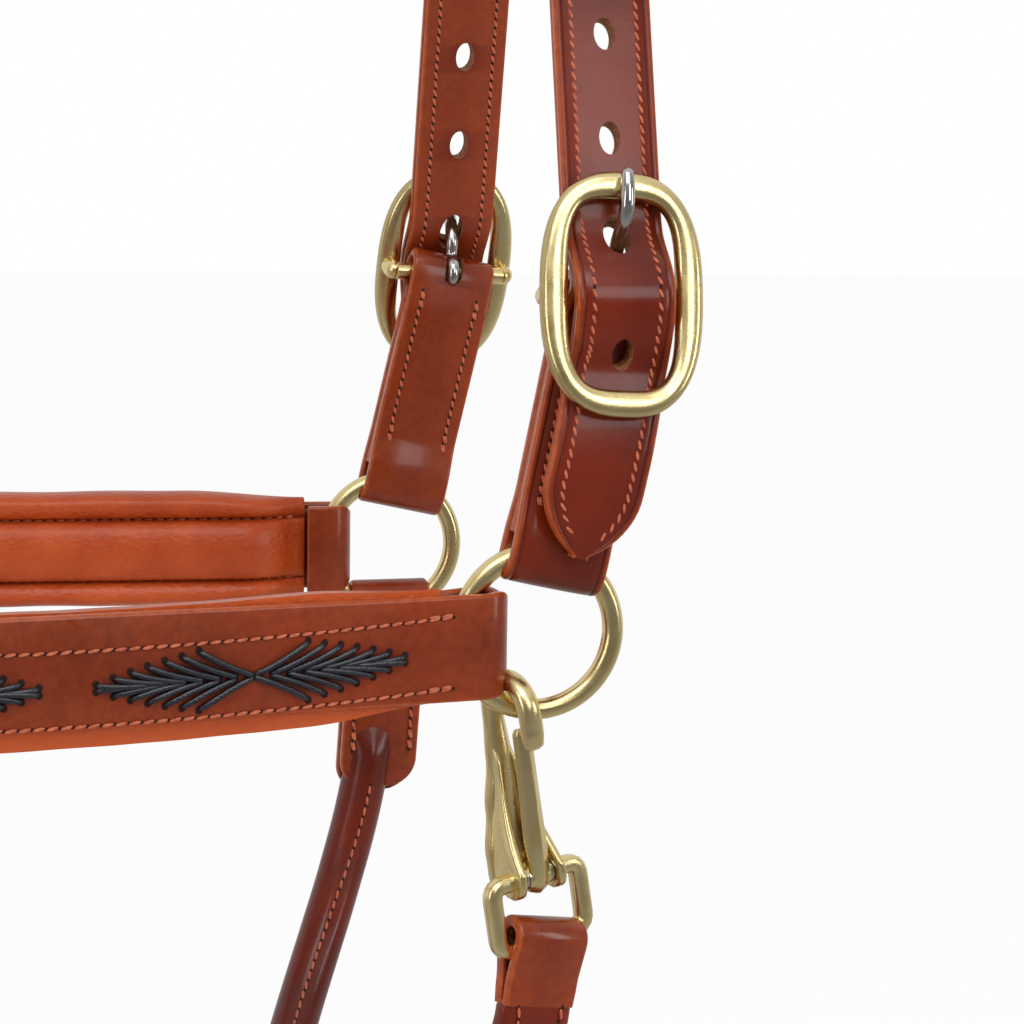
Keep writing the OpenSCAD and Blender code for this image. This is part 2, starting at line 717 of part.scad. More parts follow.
module ear(s) {
    translate([s * (ear_in + ear_t / 2), 0, 0]) {
        across(-snap_len, 0, ear_r, ear_t);
        translate([-ear_t / 2, 0, -snap_len - ear_r]) cube([ear_t, hook_mid, 2 * ear_r]);
    }
}
// Gate: a barrel round the eye's top bar and a flat bar up to the inside of the hook's tip
gate_t = 2.2;
gate_top = -hook_drop - 3.4;
module snap_gate() {
    lean = atan2(hook_mid - hook_r - gate_t / 2 - 0.4, gate_top + snap_len);
    color(brass) placed() on_snap() difference() {
        union() {
            across(-snap_len, 0, eye_r + pin_gap + 1.4, gate_w);
            translate([0, 0, -snap_len]) rotate([lean, 0, 0])
                translate([-gate_w / 2, -gate_t / 2, 0]) cube([gate_w, gate_t, gate_top + snap_len]);
        }
        across(-snap_len, 0, eye_r + pin_gap, 2 * gate_w);
    }
}
// Two small torsion coils, one on each side of the gate
module snap_spring() {
    color(steel) placed() on_snap() for (s = [-1, 1]) translate([s * (gate_w / 2 + 0.9), 0, 0]) difference() {
        across(-snap_len, 0, eye_r + 1.2, 1.4);
        across(-snap_len, 0, eye_r + 0.2, 4);
    }
}
// Eye: a rectangular link
module snap_eye() {
    color(brass) placed() on_snap() {
        across(-snap_len, 0, eye_r, eye_w);
        across(low_bar, 0, eye_r, eye_w);
        for (x = [-1, 1]) translate([x * eye_w / 2, 0, low_bar]) {
            cylinder(h = eye_h, r = eye_r);
            sphere(eye_r);
            translate([0, 0, eye_h]) sphere(eye_r);
        }
    }
}

headpiece_outer();
headpiece_lining();
near_chape();
far_chape();
near_chape_filler();
far_chape_filler();
near_buckle_frame();
far_buckle_frame();
near_buckle_tongue();
far_buckle_tongue();
near_upper_ring();
far_upper_ring();
near_cheek_strap();
far_cheek_strap();
near_cheek_pad_cover();
far_cheek_pad_cover();
near_cheek_pad_foam();
far_cheek_pad_foam();
near_lower_ring();
far_lower_ring();
noseband_strap();
noseband_pad_cover();
noseband_pad_foam();
near_chin_strap();
far_chin_strap();
lead_ring();
jaw_strap();
throat_roll_cover();
throat_roll_core();
throat_far_tab();
throat_near_end();
snap_body();
snap_gate();
snap_spring();
snap_eye();
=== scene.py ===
import math
import random

import bmesh
import bpy
from mathutils import Matrix, Vector, noise


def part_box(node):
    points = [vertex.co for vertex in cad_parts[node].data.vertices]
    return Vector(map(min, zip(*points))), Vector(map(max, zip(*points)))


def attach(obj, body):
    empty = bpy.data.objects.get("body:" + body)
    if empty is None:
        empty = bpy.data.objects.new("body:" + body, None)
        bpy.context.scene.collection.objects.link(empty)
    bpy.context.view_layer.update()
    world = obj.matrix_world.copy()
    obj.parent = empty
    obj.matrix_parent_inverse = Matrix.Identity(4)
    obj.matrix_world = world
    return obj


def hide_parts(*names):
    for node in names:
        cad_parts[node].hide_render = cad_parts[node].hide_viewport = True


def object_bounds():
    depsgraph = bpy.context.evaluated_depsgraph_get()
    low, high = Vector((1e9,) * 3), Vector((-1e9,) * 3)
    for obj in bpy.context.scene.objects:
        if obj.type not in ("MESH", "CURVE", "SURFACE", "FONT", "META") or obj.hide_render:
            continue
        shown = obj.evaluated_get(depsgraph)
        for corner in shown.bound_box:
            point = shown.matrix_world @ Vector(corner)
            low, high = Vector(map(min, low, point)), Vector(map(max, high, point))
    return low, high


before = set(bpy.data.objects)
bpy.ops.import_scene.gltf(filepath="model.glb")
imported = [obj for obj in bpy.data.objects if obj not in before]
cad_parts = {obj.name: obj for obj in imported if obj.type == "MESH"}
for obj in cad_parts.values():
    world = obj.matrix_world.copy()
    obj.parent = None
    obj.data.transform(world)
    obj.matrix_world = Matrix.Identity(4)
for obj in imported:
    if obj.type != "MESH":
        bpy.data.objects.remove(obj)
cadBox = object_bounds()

random.seed(11)
mm = 0.001
upright = Vector((0, 0, 1))
bothSides = ((-1, "near"), (1, "far"))

# The two upper rings lie on one axis across the head; places are given from it, in mm
ringLow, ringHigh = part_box("far_upper_ring")
ringMid = (ringLow + ringHigh) / 2
sizes = {
    "ringSpan": 75, "ringRadius": 18.8, "wire": 2.5,
    "lowerSpan": 95, "cheekLength": 230, "chinDrop": 118,
    "barReach": 80, "chapeLean": 12.4, "headTilt": 13, "barSet": 7,
}
barX = sizes["barReach"] * math.sin(math.radians(sizes["chapeLean"]))
barZ = sizes["barReach"] * math.cos(math.radians(sizes["chapeLean"]))


def at(x, y, z):
    return Vector((ringMid.x + x * mm, y * mm, ringMid.z + z * mm))


# ---- making and finishing pieces
def finishPiece(name, bm, materials, body, replaces=()):
    bmesh.ops.recalc_face_normals(bm, faces=bm.faces)
    mesh = bpy.data.meshes.new(name)
    bm.to_mesh(mesh)
    bm.free()
    piece = bpy.data.objects.new(name, mesh)
    bpy.context.scene.collection.objects.link(piece)
    for material in materials:
        mesh.materials.append(material)
    mesh.shade_smooth()
    mesh.set_sharp_from_angle(angle=math.radians(50))
    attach(piece, body)
    if replaces:
        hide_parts(*replaces)


def cutAway(bm, cutter, rawSlot):
    # takes the cutter's shapes out of bm; the new walls get the raw leather
    meshes = []
    for part in (bm, cutter):
        bmesh.ops.recalc_face_normals(part, faces=part.faces)
        mesh = bpy.data.meshes.new("cutting")
        part.to_mesh(mesh)
        part.free()
        meshes.append(mesh)
    body = bpy.data.objects.new("cutBody", meshes[0])
    tool = bpy.data.objects.new("cutTool", meshes[1])
    spare = [bpy.data.materials.new("spare%d" % k) for k in range(rawSlot + 1)]
    for mesh in meshes:
        for material in spare:
            mesh.materials.append(material)
    for polygon in meshes[1].polygons:
        polygon.material_index = rawSlot
    for thing in (body, tool):
        bpy.context.scene.collection.objects.link(thing)
    cut = body.modifiers.new("cut", "BOOLEAN")
    cut.object = tool
    cut.solver = "EXACT"
    bpy.context.view_layer.update()
    done = bpy.data.meshes.new_from_object(body.evaluated_get(bpy.context.evaluated_depsgraph_get()))
    result = bmesh.new()
    result.from_mesh(done)
    for thing in (body, tool):
        bpy.data.objects.remove(thing)
    for mesh in meshes + [done]:
        bpy.data.meshes.remove(mesh)
    for material in spare:
        bpy.data.materials.remove(material)
    return result


def drawOut(cutter, faces, way):
    # draws flat faces out along way
    raised = bmesh.ops.extrude_face_region(cutter, geom=faces)["geom"]
    bmesh.ops.translate(cutter, verts=[v for v in raised if isinstance(v, bmesh.types.BMVert)], vec=way)


class Route:
    # a smooth line through points, read by the length along it
    def __init__(self, points, smooth=0, closed=False):
        points = [Vector(p) for p in points]
        if closed:
            points.append(points[0].copy())
        lengths = [0]
        for a, b in zip(points, points[1:]):
            lengths.append(lengths[-1] + (b - a).length)
        count = max(8, round(lengths[-1] / (0.5 * mm)))
        even = []
        k = 0
        for i in range(count + 1):
            reach = lengths[-1] * i / count
            while k < len(points) - 2 and lengths[k + 1] < reach:
                k += 1
            part = (reach - lengths[k]) / max(lengths[k + 1] - lengths[k], 1e-9)
            even.append(points[k].lerp(points[k + 1], part))
        for _ in range(smooth):
            if closed:
                ring = even[:-1]
                n = len(ring)
                ring = [(ring[i - 1] + ring[i] * 2 + ring[(i + 1) % n]) / 4 for i in range(n)]
                even = ring + [ring[0].copy()]
            else:
                inner = [(a + b * 2 + c) / 4 for a, b, c in zip(even, even[1:], even[2:])]
                even = [even[0]] + inner + [even[-1]]
        self.points = even
        self.closed = closed
        self.lengths = [0]
        for a, b in zip(even, even[1:]):
            self.lengths.append(self.lengths[-1] + (b - a).length)
        self.length = self.lengths[-1]

    def place(self, u):
        reach = min(max(u / self.length, 0), 1) * (len(self.points) - 1)
        k = min(int(reach), len(self.points) - 2)
        return self.points[k].lerp(self.points[k + 1], reach - k)

    def heading(self, u):
        step = 0.6 * mm
        if self.closed:
            a = self.place((u - step) % self.length)
            b = self.place((u + step) % self.length)
        else:
            a = self.place(max(u - step, 0))
            b = self.place(min(u + step, self.length))
        return (b - a).normalized()

    def stand(self, u, outward):
        # centre, across, outward and forward at u
        forward = self.heading(u)
        across = forward.cross(outward(u) if callable(outward) else outward).normalized()
        return self.place(u), across, across.cross(forward).normalized(), forward


def spread(start, end, step):
    count = max(1, math.ceil((end - start) / step - 1e-6))
    return [start + (end - start) * i / count for i in range(count + 1)]


def angles(count, whole, first=0, last=None):
    # equal steps up to the whole angle
    return [whole * k / count for k in range(first, (count if last is None else last) + 1)]


def eased(t):
    t = min(1.0, max(0.0, t))
    return t * t * (3 - 2 * t)


def cornerInset(corner, tip, least=0):
    # how far a rounded corner draws in the edge at tip mm from the end
    near = min(1.0, max(0.0, 1 - tip / corner))
    return corner - math.sqrt(max(corner ** 2 - (corner * near) ** 2, least))


def strapSection(low, high, thick, soft=0.8, crease=True, crown=0.0):
    # one turn round a strap: (across, out, edge, crease), in mm
    h = thick / 2
    r = min(soft, h)
    mid = (low + high) / 2
    half = max((high - low) / 2, 0.01)
    turns = (30, 60, 90)
    points = []

    def corner(side, face, degrees):
        edge = high if side > 0 else low
        for t in degrees:
            s, c = math.sin(math.radians(t)), math.cos(math.radians(t))
            points.append((edge - side * r + side * r * s, face * h - face * r + face * r * c,
                           0.45 + 0.55 * s, 0))

    face = [(low + r, 0.3, 0)]
    if crease:
        face += [(low + 1.5, 0.05, 0), (low + 1.85, 0, 1), (low + 2.2, 0, 0)]
    face += [(mid + half * k, 0, 0) for k in (-0.62, -0.42, -0.2, 0, 0.2, 0.42, 0.62)]
    if crease:
        face += [(high - 2.2, 0, 0), (high - 1.85, 0, 1), (high - 1.5, 0.05, 0)]
    face.append((high - r, 0.3, 0))
    for a, edge, groove in face:
        lift = crown * max(0, 1 - ((a - mid) / half) ** 2)
        points.append((a, h + lift - 0.24 * groove, edge, groove))
    corner(1, 1, turns)
    corner(1, -1, turns[::-1])
    points += [(high - r, -h, 0.35, 0), (mid, -h, 0.2, 0), (low + r, -h, 0.35, 0)]
    corner(-1, -1, turns)
    corner(-1, 1, turns[::-1])
    return points


def sweep(bm, stands, sections, closed=False, runs=None):
    # lays a grid over the stands, a row to each section, and closes it round
    edgeLayer = bm.verts.layers.float.get("edge") or bm.verts.layers.float.new("edge")
    creaseLayer = bm.verts.layers.float.get("crease") or bm.verts.layers.float.new("crease")
    uvLayer = bm.loops.layers.uv.get("strap") or bm.loops.layers.uv.new("strap")
    if runs is None:
        runs = [0]
        for a, b in zip(stands, stands[1:]):
            runs.append(runs[-1] + (b[0] - a[0]).length)
    rows, around = len(stands), len(sections[0])
    stretch = list(runs) + [runs[-1] + (stands[0][0] - stands[-1][0]).length]
    grid = bmesh.ops.create_grid(bm, x_segments=around, y_segments=rows if closed else rows - 1,
                                 size=1.0)["verts"]
    known, joins = {}, {}
    for index, vert in enumerate(grid):
        i, k = divmod(index, around + 1)
        centre, across, out, forward = stands[i % rows]
        a, n, edge, crease = sections[i % rows][k % around]
        vert.co = centre + across * (a * mm) + out * (n * mm)
        vert[edgeLayer] = edge
        vert[creaseLayer] = crease
        known[vert] = (stretch[i], a * mm)
        if k == around or i == rows:
            joins[vert] = grid[(i % rows) * (around + 1) + k % around]
    faces = list({face for vert in grid for face in vert.link_faces})
    for face in faces:
        for loop in face.loops:
            loop[uvLayer].uv = known[loop.vert]
    firstRow, lastRow = grid[:around], grid[(rows - 1) * (around + 1):rows * (around + 1) - 1]
    bmesh.ops.weld_verts(bm, targetmap=joins)
    if not closed:
        for row in (firstRow, lastRow):
            members = set(row)
            rim = {e for v in row for e in v.link_edges if e.other_vert(v) in members}
            for cap in bmesh.ops.contextual_create(bm, geom=list(rim))["faces"]:
                for loop in cap.loops:
                    loop[uvLayer].uv = known[loop.vert]
                faces.append(cap)
    return faces


def layStrap(route, runs, across, outward, sectionAt, closed=False, blunt=None):
    # a strap along a route; blunt draws in the cut ends
    stands, sections = [], []
    for u in runs:
        forward, centre = route.heading(u), route.place(u)
        stands.append((centre, across, outward(forward), forward))
        section = sectionAt(u, centre)
        if blunt and u in (runs[0], runs[-1]):
            section = [(a * blunt[0], n * blunt[1], 1.0, c) for a, n, e, c in section]
        sections.append(section)
    bm = bmesh.new()
    sweep(bm, stands, sections, closed=closed, runs=runs)
    return bm


def absorb(bm, other):
    # adds one body to another and frees it
    mesh = bpy.data.meshes.new("absorbed")
    other.to_mesh(mesh)
    other.free()
    bm.from_mesh(mesh)
    bpy.data.meshes.remove(mesh)


def tube(bm, points, radius, sides=10, ends=0.35):
    # a round bar or thread along points; radius may be a function of 0..1
    route = Route(points, 6)
    side = Vector((0.31, 0.52, 0.8))
    stands, sections = [], []
    count = max(6, min(60, round(route.length / (0.9 * mm))))
    for i in range(count + 1):
        t = i / count
        r = radius(t) if callable(radius) else radius
        if i in (0, count):
            r *= ends
        forward = route.heading(route.length * t)
        across = forward.cross(side).normalized()
        side = across.cross(forward)
        stands.append((route.place(route.length * t), across, side, forward))
        sections.append([(r / mm * math.cos(w), r / mm * math.sin(w), 0, 0)
                         for w in angles(sides, 2 * math.pi, 0, sides - 1)])
    return sweep(bm, stands, sections)


# ---- finishes
def addNode(tree, kind, inputs=None, **settings):
    made = tree.nodes.new(kind)
    for key, value in settings.items():
        setattr(made, key, value)
    for key, value in (inputs or {}).items():
        if isinstance(value, bpy.types.NodeSocket):
            tree.links.new(value, made.inputs[key])
        else:
            made.inputs[key].default_value = value
    return made


def blendColours(tree, amount, first, second):
    mixer = addNode(tree, "ShaderNodeMix", data_type="RGBA")
    for socket, value in ((mixer.inputs[0], amount), (mixer.inputs[6], first), (mixer.inputs[7], second)):
        if isinstance(value, bpy.types.NodeSocket):
            tree.links.new(value, socket)
        else:
            socket.default_value = value if isinstance(value, float) else (*value, 1)
    return mixer.outputs[2]


def mathNode(tree, operation, *values):
    return addNode(tree, "ShaderNodeMath", dict(enumerate(values)), operation=operation).outputs[0]


def ranged(tree, value, low, high, toLow=0.0, toHigh=1.0):
    return addNode(tree, "ShaderNodeMapRange", {
        "Value": value, "From Min": low, "From Max": high, "To Min": toLow, "To Max": toHigh}).outputs[0]


def blotches(tree, place, scale, low, high, detail=3.0):
    cloud = addNode(tree, "ShaderNodeTexNoise", {"Vector": place, "Scale": scale, "Detail": detail})
    return ranged(tree, cloud.outputs[0], low, high)


def roughen(tree, shader, place, scale, low, high):
    patch = blotches(tree, place, scale, 0.3, 0.7, 3.0)
    tree.links.new(ranged(tree, patch, 0.0, 1.0, low, high), shader.inputs["Roughness"])


def attribute(tree, name):
    return addNode(tree, "ShaderNodeAttribute", attribute_name=name).outputs["Fac"]


def bumped(tree, height, distance, strength=1.0, under=None):
    inputs = {"Height": height, "Distance": distance, "Strength": strength}
    if under is not None:
        inputs["Normal"] = under
    return addNode(tree, "ShaderNodeBump", inputs).outputs[0]


def startMaterial(name):
    material = bpy.data.materials.new(name)
    material.use_nodes = True
    tree = material.node_tree
    shader = tree.nodes["Principled BSDF"]
    place = addNode(tree, "ShaderNodeTexCoord").outputs["Object"]
    return material, tree, shader, place


def leatherFinish(name, look):
    # waxed leather: slow clouding, fine pores, paler burnished edges, and darker crease marks: the tooled
    # crease lines along the strap edges, plus painted shade in the pad valleys and in the groove beside the
    # throat roll's seam
    material, tree, shader, place = startMaterial(name)
    clouds = blotches(tree, place, look.get("cloud", 34.0), 0.36, 0.66, 4.0)
    colour = blendColours(tree, clouds, look["dark"], look["light"])
    pores = blotches(tree, place, 950.0, 0.3, 0.7, 2.0)
    shade = mathNode(tree, "MULTIPLY", pores, look.get("poreTint", 0.16))
    colour = blendColours(tree, shade, colour, look["dark"])
    edge = attribute(tree, "edge")
    strips = blotches(tree, place, 420.0, 0.35, 0.65, 2.0)
    rubbed = mathNode(tree, "MULTIPLY", edge, strips)
    rubbed = mathNode(tree, "MULTIPLY_ADD", rubbed, 0.35, mathNode(tree, "MULTIPLY", edge, 0.6))
    colour = blendColours(tree, rubbed, colour, look["edge"])
    # the crease mask darkens the tooled crease lines, and paints shade into the pad valleys and the roll's
    # seam groove
    deep = mathNode(tree, "MULTIPLY", attribute(tree, "crease"), 0.55)
    colour = blendColours(tree, deep, colour, look["crease"])
    tree.links.new(colour, shader.inputs["Base Color"])
    roughen(tree, shader, place, 75.0, look["rough"] - 0.05, look["rough"] + 0.07)
    shader.inputs["Coat Weight"].default_value = look["coat"]
    shader.inputs["Coat Roughness"].default_value = look["coatRough"]
    shader.inputs["Specular IOR Level"].default_value = 0.3
    cells = addNode(tree, "ShaderNodeTexVoronoi", {
        "Vector": addNode(tree, "ShaderNodeMapping", {
            "Vector": place, "Scale": look.get("stretch", (1.0, 1.0, 1.0))}).outputs[0],
        "Scale": look["grain"], "Randomness": 1.0}, feature="SMOOTH_F1").outputs["Distance"]
    skin = bumped(tree, cells, look["grainDepth"] * mm, look["grainStrength"])
    swell = blotches(tree, place, 130.0, 0.0, 1.0, 2.0)
    tree.links.new(bumped(tree, swell, 0.25 * mm, 0.35, skin), shader.inputs["Normal"])
    return material


def metalFinish(name, look):
    material, tree, shader, place = startMaterial(name)
    tint = blotches(tree, place, 160.0, 0.35, 0.7, 4.0)
    colour = blendColours(tree, tint, look["base"], look["tarnish"])
    # painted shade: the edge mask darkens the sides of rims and wires towards the deep olive, standing in for
    # the dark reflections there
    edgeShade = mathNode(tree, "MULTIPLY", attribute(tree, "edge"), look.get("edgeShadeAmount", 0.0))
    colour = blendColours(tree, edgeShade, colour, look["deep"])
    tree.links.new(colour, shader.inputs["Base Color"])
    shader.inputs["Metallic"].default_value = 1.0
    roughen(tree, shader, place, 240.0, look["rough"] - 0.04, look["rough"] + 0.06)
    grain = blotches(tree, place, look["grain"], 0.2, 0.8, 5.0)
    wave = blotches(tree, place, 60.0, 0.0, 1.0, 1.0)
    skin = bumped(tree, grain, look["grainDepth"] * mm, 0.6)
    tree.links.new(bumped(tree, wave, 0.3 * mm, 0.15, skin), shader.inputs["Normal"])
    return material


def threadFinish(name, look):
    # twisted thread: slanting plies along the stitch
    material, tree, shader, place = startMaterial(name)
    clouds = blotches(tree, place, 900.0, 0.3, 0.7, 2.0)
    tree.links.new(blendColours(tree, clouds, look["dark"], look["light"]), shader.inputs["Base Color"])
    shader.inputs["Roughness"].default_value = look["rough"]
    shader.inputs["Coat Weight"].default_value = look["coat"]
    shader.inputs["Coat Roughness"].default_value = 0.25
    uv = addNode(tree, "ShaderNodeUVMap", uv_map="strap").outputs[0]
    plies = addNode(tree, "ShaderNodeTexWave", {"Vector": uv, "Scale": look["plies"], "Distortion": 1.5},
                    bands_direction="DIAGONAL").outputs["Fac"]
    fuzz = blotches(tree, place, 2600.0, 0.3, 0.7, 2.0)
    skin = bumped(tree, fuzz, 0.08 * mm, 0.6)
    tree.links.new(bumped(tree, plies, 0.12 * mm, 0.5, skin), shader.inputs["Normal"])
    return material


def plainFinish(name, dark, light, rough, scale, depth):
    material, tree, shader, place = startMaterial(name)
    clouds = blotches(tree, place, scale, 0.3, 0.7, 4.0)
    tree.links.new(blendColours(tree, clouds, dark, light), shader.inputs["Base Color"])
    shader.inputs["Roughness"].default_value = rough
    tree.links.new(bumped(tree, clouds, depth * mm, 0.7), shader.inputs["Normal"])
    return material


tanLeather = leatherFinish("tanLeather", {
    "dark": (0.110, 0.0082, 0.0008), "light": (0.195, 0.0165, 0.0016), "edge": (0.54, 0.098, 0.018),
    "crease": (0.045, 0.003, 0.0006), "rough": 0.29, "coat": 0.24, "coatRough": 0.13,
    "grain": 1500.0, "grainDepth": 0.05, "grainStrength": 0.35})
foldLeather = leatherFinish("foldLeather", {
    "dark": (0.115, 0.0092, 0.0009), "light": (0.200, 0.0185, 0.0018), "edge": (0.52, 0.094, 0.017),
    "crease": (0.040, 0.003, 0.0006), "rough": 0.27, "coat": 0.32, "coatRough": 0.11,
    "grain": 1500.0, "grainDepth": 0.05, "grainStrength": 0.3})
liningLeather = leatherFinish("liningLeather", {
    "dark": (0.15, 0.0135, 0.0014), "light": (0.24, 0.027, 0.0036), "edge": (0.54, 0.10, 0.019),
    "crease": (0.07, 0.007, 0.0012), "rough": 0.44, "coat": 0.14, "coatRough": 0.28,
    "grain": 1250.0, "grainDepth": 0.08, "grainStrength": 0.45})
padLeather = leatherFinish("padLeather", {
    "dark": (0.44, 0.056, 0.0080), "light": (0.66, 0.112, 0.020), "edge": (0.56, 0.095, 0.017),
    "crease": (0.12, 0.011, 0.002), "rough": 0.38, "coat": 0.22, "coatRough": 0.25, "poreTint": 0.3,
    "grain": 820.0, "grainDepth": 0.34, "grainStrength": 0.75, "stretch": (0.75, 1.0, 1.15)})
rawLeather = plainFinish("rawLeather", (0.20, 0.055, 0.016), (0.46, 0.19, 0.07), 0.8, 700.0, 0.25)
# near-black: painted shade for the stitch and lace holes
paintedHoleShade = plainFinish("paintedHoleShade", (0.010, 0.002, 0.001), (0.028, 0.005, 0.002), 0.9, 500.0, 0.1)
stitchThread = threadFinish("stitchThread", {
    "dark": (0.44, 0.080, 0.030), "light": (0.68, 0.180, 0.080), "rough": 0.62, "coat": 0.1, "plies": 900.0})
laceThread = threadFinish("laceThread", {
    "dark": (0.004, 0.005, 0.009), "light": (0.012, 0.015, 0.026), "rough": 0.3, "coat": 0.6, "plies": 520.0})
# deep is the olive painted as shade along the metal's edges
satinBrass = metalFinish("satinBrass", {
    "base": (0.88, 0.73, 0.38), "tarnish": (0.82, 0.63, 0.28), "deep": (0.32, 0.22, 0.07), "edgeShadeAmount": 0.7,
    "rough": 0.24, "grain": 1500.0, "grainDepth": 0.02})
castBrass = metalFinish("castBrass", {
    "base": (0.52, 0.40, 0.14), "tarnish": (0.36, 0.26, 0.08), "deep": (0.25, 0.17, 0.05), "edgeShadeAmount": 0.5,
    "rough": 0.42, "grain": 620.0, "grainDepth": 0.5})
brightSteel = metalFinish("brightSteel", {
    "base": (0.62, 0.61, 0.60), "tarnish": (0.48, 0.47, 0.46), "deep": (0.3, 0.3, 0.3),
    "rough": 0.14, "grain": 900.0, "grainDepth": 0.01})
twistedCore = plainFinish("twistedCore", (0.45, 0.36, 0.22), (0.66, 0.56, 0.38), 0.9, 600.0, 0.3)
print("finishes made")


# ---- stitching and lacing, laid on a face given by place(u, a) -> point, across, out, forward
def stitchBody():
    bm = bmesh.new()
    bm.verts.layers.float.new("edge")
    bm.verts.layers.float.new("crease")
    bm.loops.layers.uv.new("strap")
    return bm


def layStitch(bm, spot, forward, out, length, slant, thread=0.42, lift=0.1):
    # one slanted stitch; the dark disc of painted shade at its prick hole is laid separately
    uvLayer = bm.loops.layers.uv["strap"]
    turned = Matrix.Rotation(math.radians(slant), 3, out) @ forward
    side = out.cross(turned)
    frameOf = Matrix((side * thread, out * thread * 0.9, turned * length / 2)).transposed() * mm
    spotMatrix = Matrix.Translation(spot + out * lift * mm) @ frameOf.to_4x4()
    made = bmesh.ops.create_uvsphere(bm, u_segments=7, v_segments=6, radius=1.0, matrix=spotMatrix)["verts"]
    inverse = spotMatrix.inverted()
    for vert in made:
        local = inverse @ vert.co
        for loop in vert.link_loops:
            loop[uvLayer].uv = (local.z * length / 2 * mm, math.atan2(local.y, local.x) * thread * mm)


def layHoleShade(bm, spot, forward, out, length=0.62, width=0.4, lift=0.02):
    # a flat near-black disc on the surface at a prick or lace hole: painted shade standing in for the dark
    # inside the hole
    side = out.cross(forward)
    frameOf = Matrix((forward * length, side * width, out)).transposed() * mm
    made = bmesh.ops.create_circle(
        bm, cap_ends=True, segments=9, radius=1.0,
        matrix=Matrix.Translation(spot + out * lift * mm) @ frameOf.to_4x4())["verts"]
    for face in {f for v in made for f in v.link_faces}:
        face.material_index = 1


def stitchRow(bm, place, start, end, a, look, tacks=(True, True)):
    # a row of stitches at a from the middle, from start to end along the strap, in metres
    pitch = look["pitch"] * mm
    count = max(1, round((end - start) / pitch))
    step = (end - start) / count
    row = stitchBody()
    for i in range(count + 1):
        if i % 30 == 29:
            absorb(bm, row)
            row = stitchBody()
        u = start + step * i
        spot, across, out, forward = place(u, a)
        layHoleShade(row, spot, forward, out)
        if i == count:
            break
        spot, across, out, forward = place(u + step / 2, a)
        jitter = look["slant"] + random.uniform(-3, 3)
        layStitch(row, spot, forward, out, look["length"], jitter, look["thread"])
        isTack = (tacks[0] and i < 2) or (tacks[1] and i > count - 3)
        if isTack:  # sewn back on itself, a second thread beside the first
            layStitch(row, spot + across * 0.5 * mm, forward, out, look["length"], jitter - 6,
                      look["thread"], 0.16)
    absorb(bm, row)


def layLeaf(bm, place, middle, way, look):
    # one leaf of the herringbone lacing, its strands running in to the middle line
    leaf = stitchBody()
    for i, height in enumerate(look["heights"]):
        for side in (1, -1):
            holeU = middle + way * (look["first"] + look["pitch"] * i) * mm
            endU = holeU - way * look["reach"] * mm
            spot, across, out, forward = place(holeU, side * height * mm)
            layHoleShade(leaf, spot + across * side * 0.25 * mm, across, out, 0.95, 0.85, 0.04)
            start = side * height
            bow = 0.9 * side if height > 2 else 0.5 * side
            lie = 0.78 + (0.34 if side * way > 0 else 0.0)
            points = []
            for t, lift in ((0.0, -0.5), (0.02, 0.3), (0.07, lie), (0.25, lie + 0.12), (0.5, lie + 0.1),
                            (0.75, lie), (0.92, lie - 0.15), (0.98, 0.25), (1.0, -0.5)):
                u = holeU + (endU - holeU) * t
                lateral = start * (1 - t) + 0.12 * side * t - bow * math.sin(math.pi * t) * 0.5
                base, across, out, forward = place(u, lateral * mm)
                points.append(base + out * lift * mm)
            tube(leaf, points, look["thread"] * mm, 8)
    absorb(bm, leaf)


def finishThread(name, bm, body, thread=stitchThread):
    finishPiece(name, bm, [thread, paintedHoleShade], body)


def sewBoth(name, body, faceAt, row, start, end, look):
    # rows of stitches at row mm each way from the middle, on both faces of a strap
    bm = stitchBody()
    for sign in (1, -1):
        for a in (-row, row):
            stitchRow(bm, lambda u, a, sign=sign: faceAt(u, a, sign), start, end, a * mm, look)
    finishThread(name, bm, body)


# ---- headpiece: two layers from tail to tail over the poll
headLook = {"halfWidth": 12, "layer": 2.4, "low": -5.2, "high": 2.5, "hump": 17.6, "tailOut": 84.15,
            "tailEnd": 18.7, "pollRadius": 53, "holes": (38, 63, 88), "stitchIn": 3.95, "leanFrom": 12,
            "tip": 17.0, "hole": (5.3, 7.9), "lowHole": (-12, 5.2, 7.6), "holeShift": (0.047, 0.083),
            "stitch": {"pitch": 2.48, "length": 2.35, "slant": 24, "thread": 0.4}}
tilt = math.radians(sizes["headTilt"])
lean = math.radians(sizes["chapeLean"])


def onBuckle(s, n):
    # (y, z) of a point s up the strap and n out from the buckle's middle plane
    reach = sizes["barSet"] + n
    return (sizes["ringSpan"] + reach * math.cos(tilt) - s * math.sin(tilt),
            barZ + reach * math.sin(tilt) + s * math.cos(tilt))


def headHalf():
    low, high, hump = headLook["low"], headLook["high"], headLook["hump"]
    line = [(headLook["tailOut"], headLook["tailEnd"]), (headLook["tailOut"], barZ - 35),
            onBuckle(-29, low)]
    for k in range(-12, 13):
        s = hump * k / 12
        line.append(onBuckle(s, low + (high - low) * (1 + math.cos(math.pi * s / hump)) / 2))
    radius = headLook["pollRadius"]
    straightY, straightZ = onBuckle(0, low)
    bendY = radius * math.cos(tilt)
    middle = straightZ + (straightY - bendY) / math.tan(tilt) - radius * math.sin(tilt)
    for k in range(25):
        w = tilt + (math.pi / 2 - tilt) * k / 24
        line.append((radius * math.cos(w), middle + radius * math.sin(w)))
    return line


def headX(z):
    return barX - max(0, barZ - headLook["leanFrom"] - z) * math.tan(lean)


halfLine = headHalf()
headPoints = [at(headX(z), -y, z) for y, z in halfLine]
headPoints += [at(headX(z), y, z) for y, z in reversed(halfLine[:-1])]
headRoute = Route(headPoints, 26)


def headOut(u):
    forward = headRoute.heading(u)
    return Vector((1, 0, 0)).cross(forward).normalized()


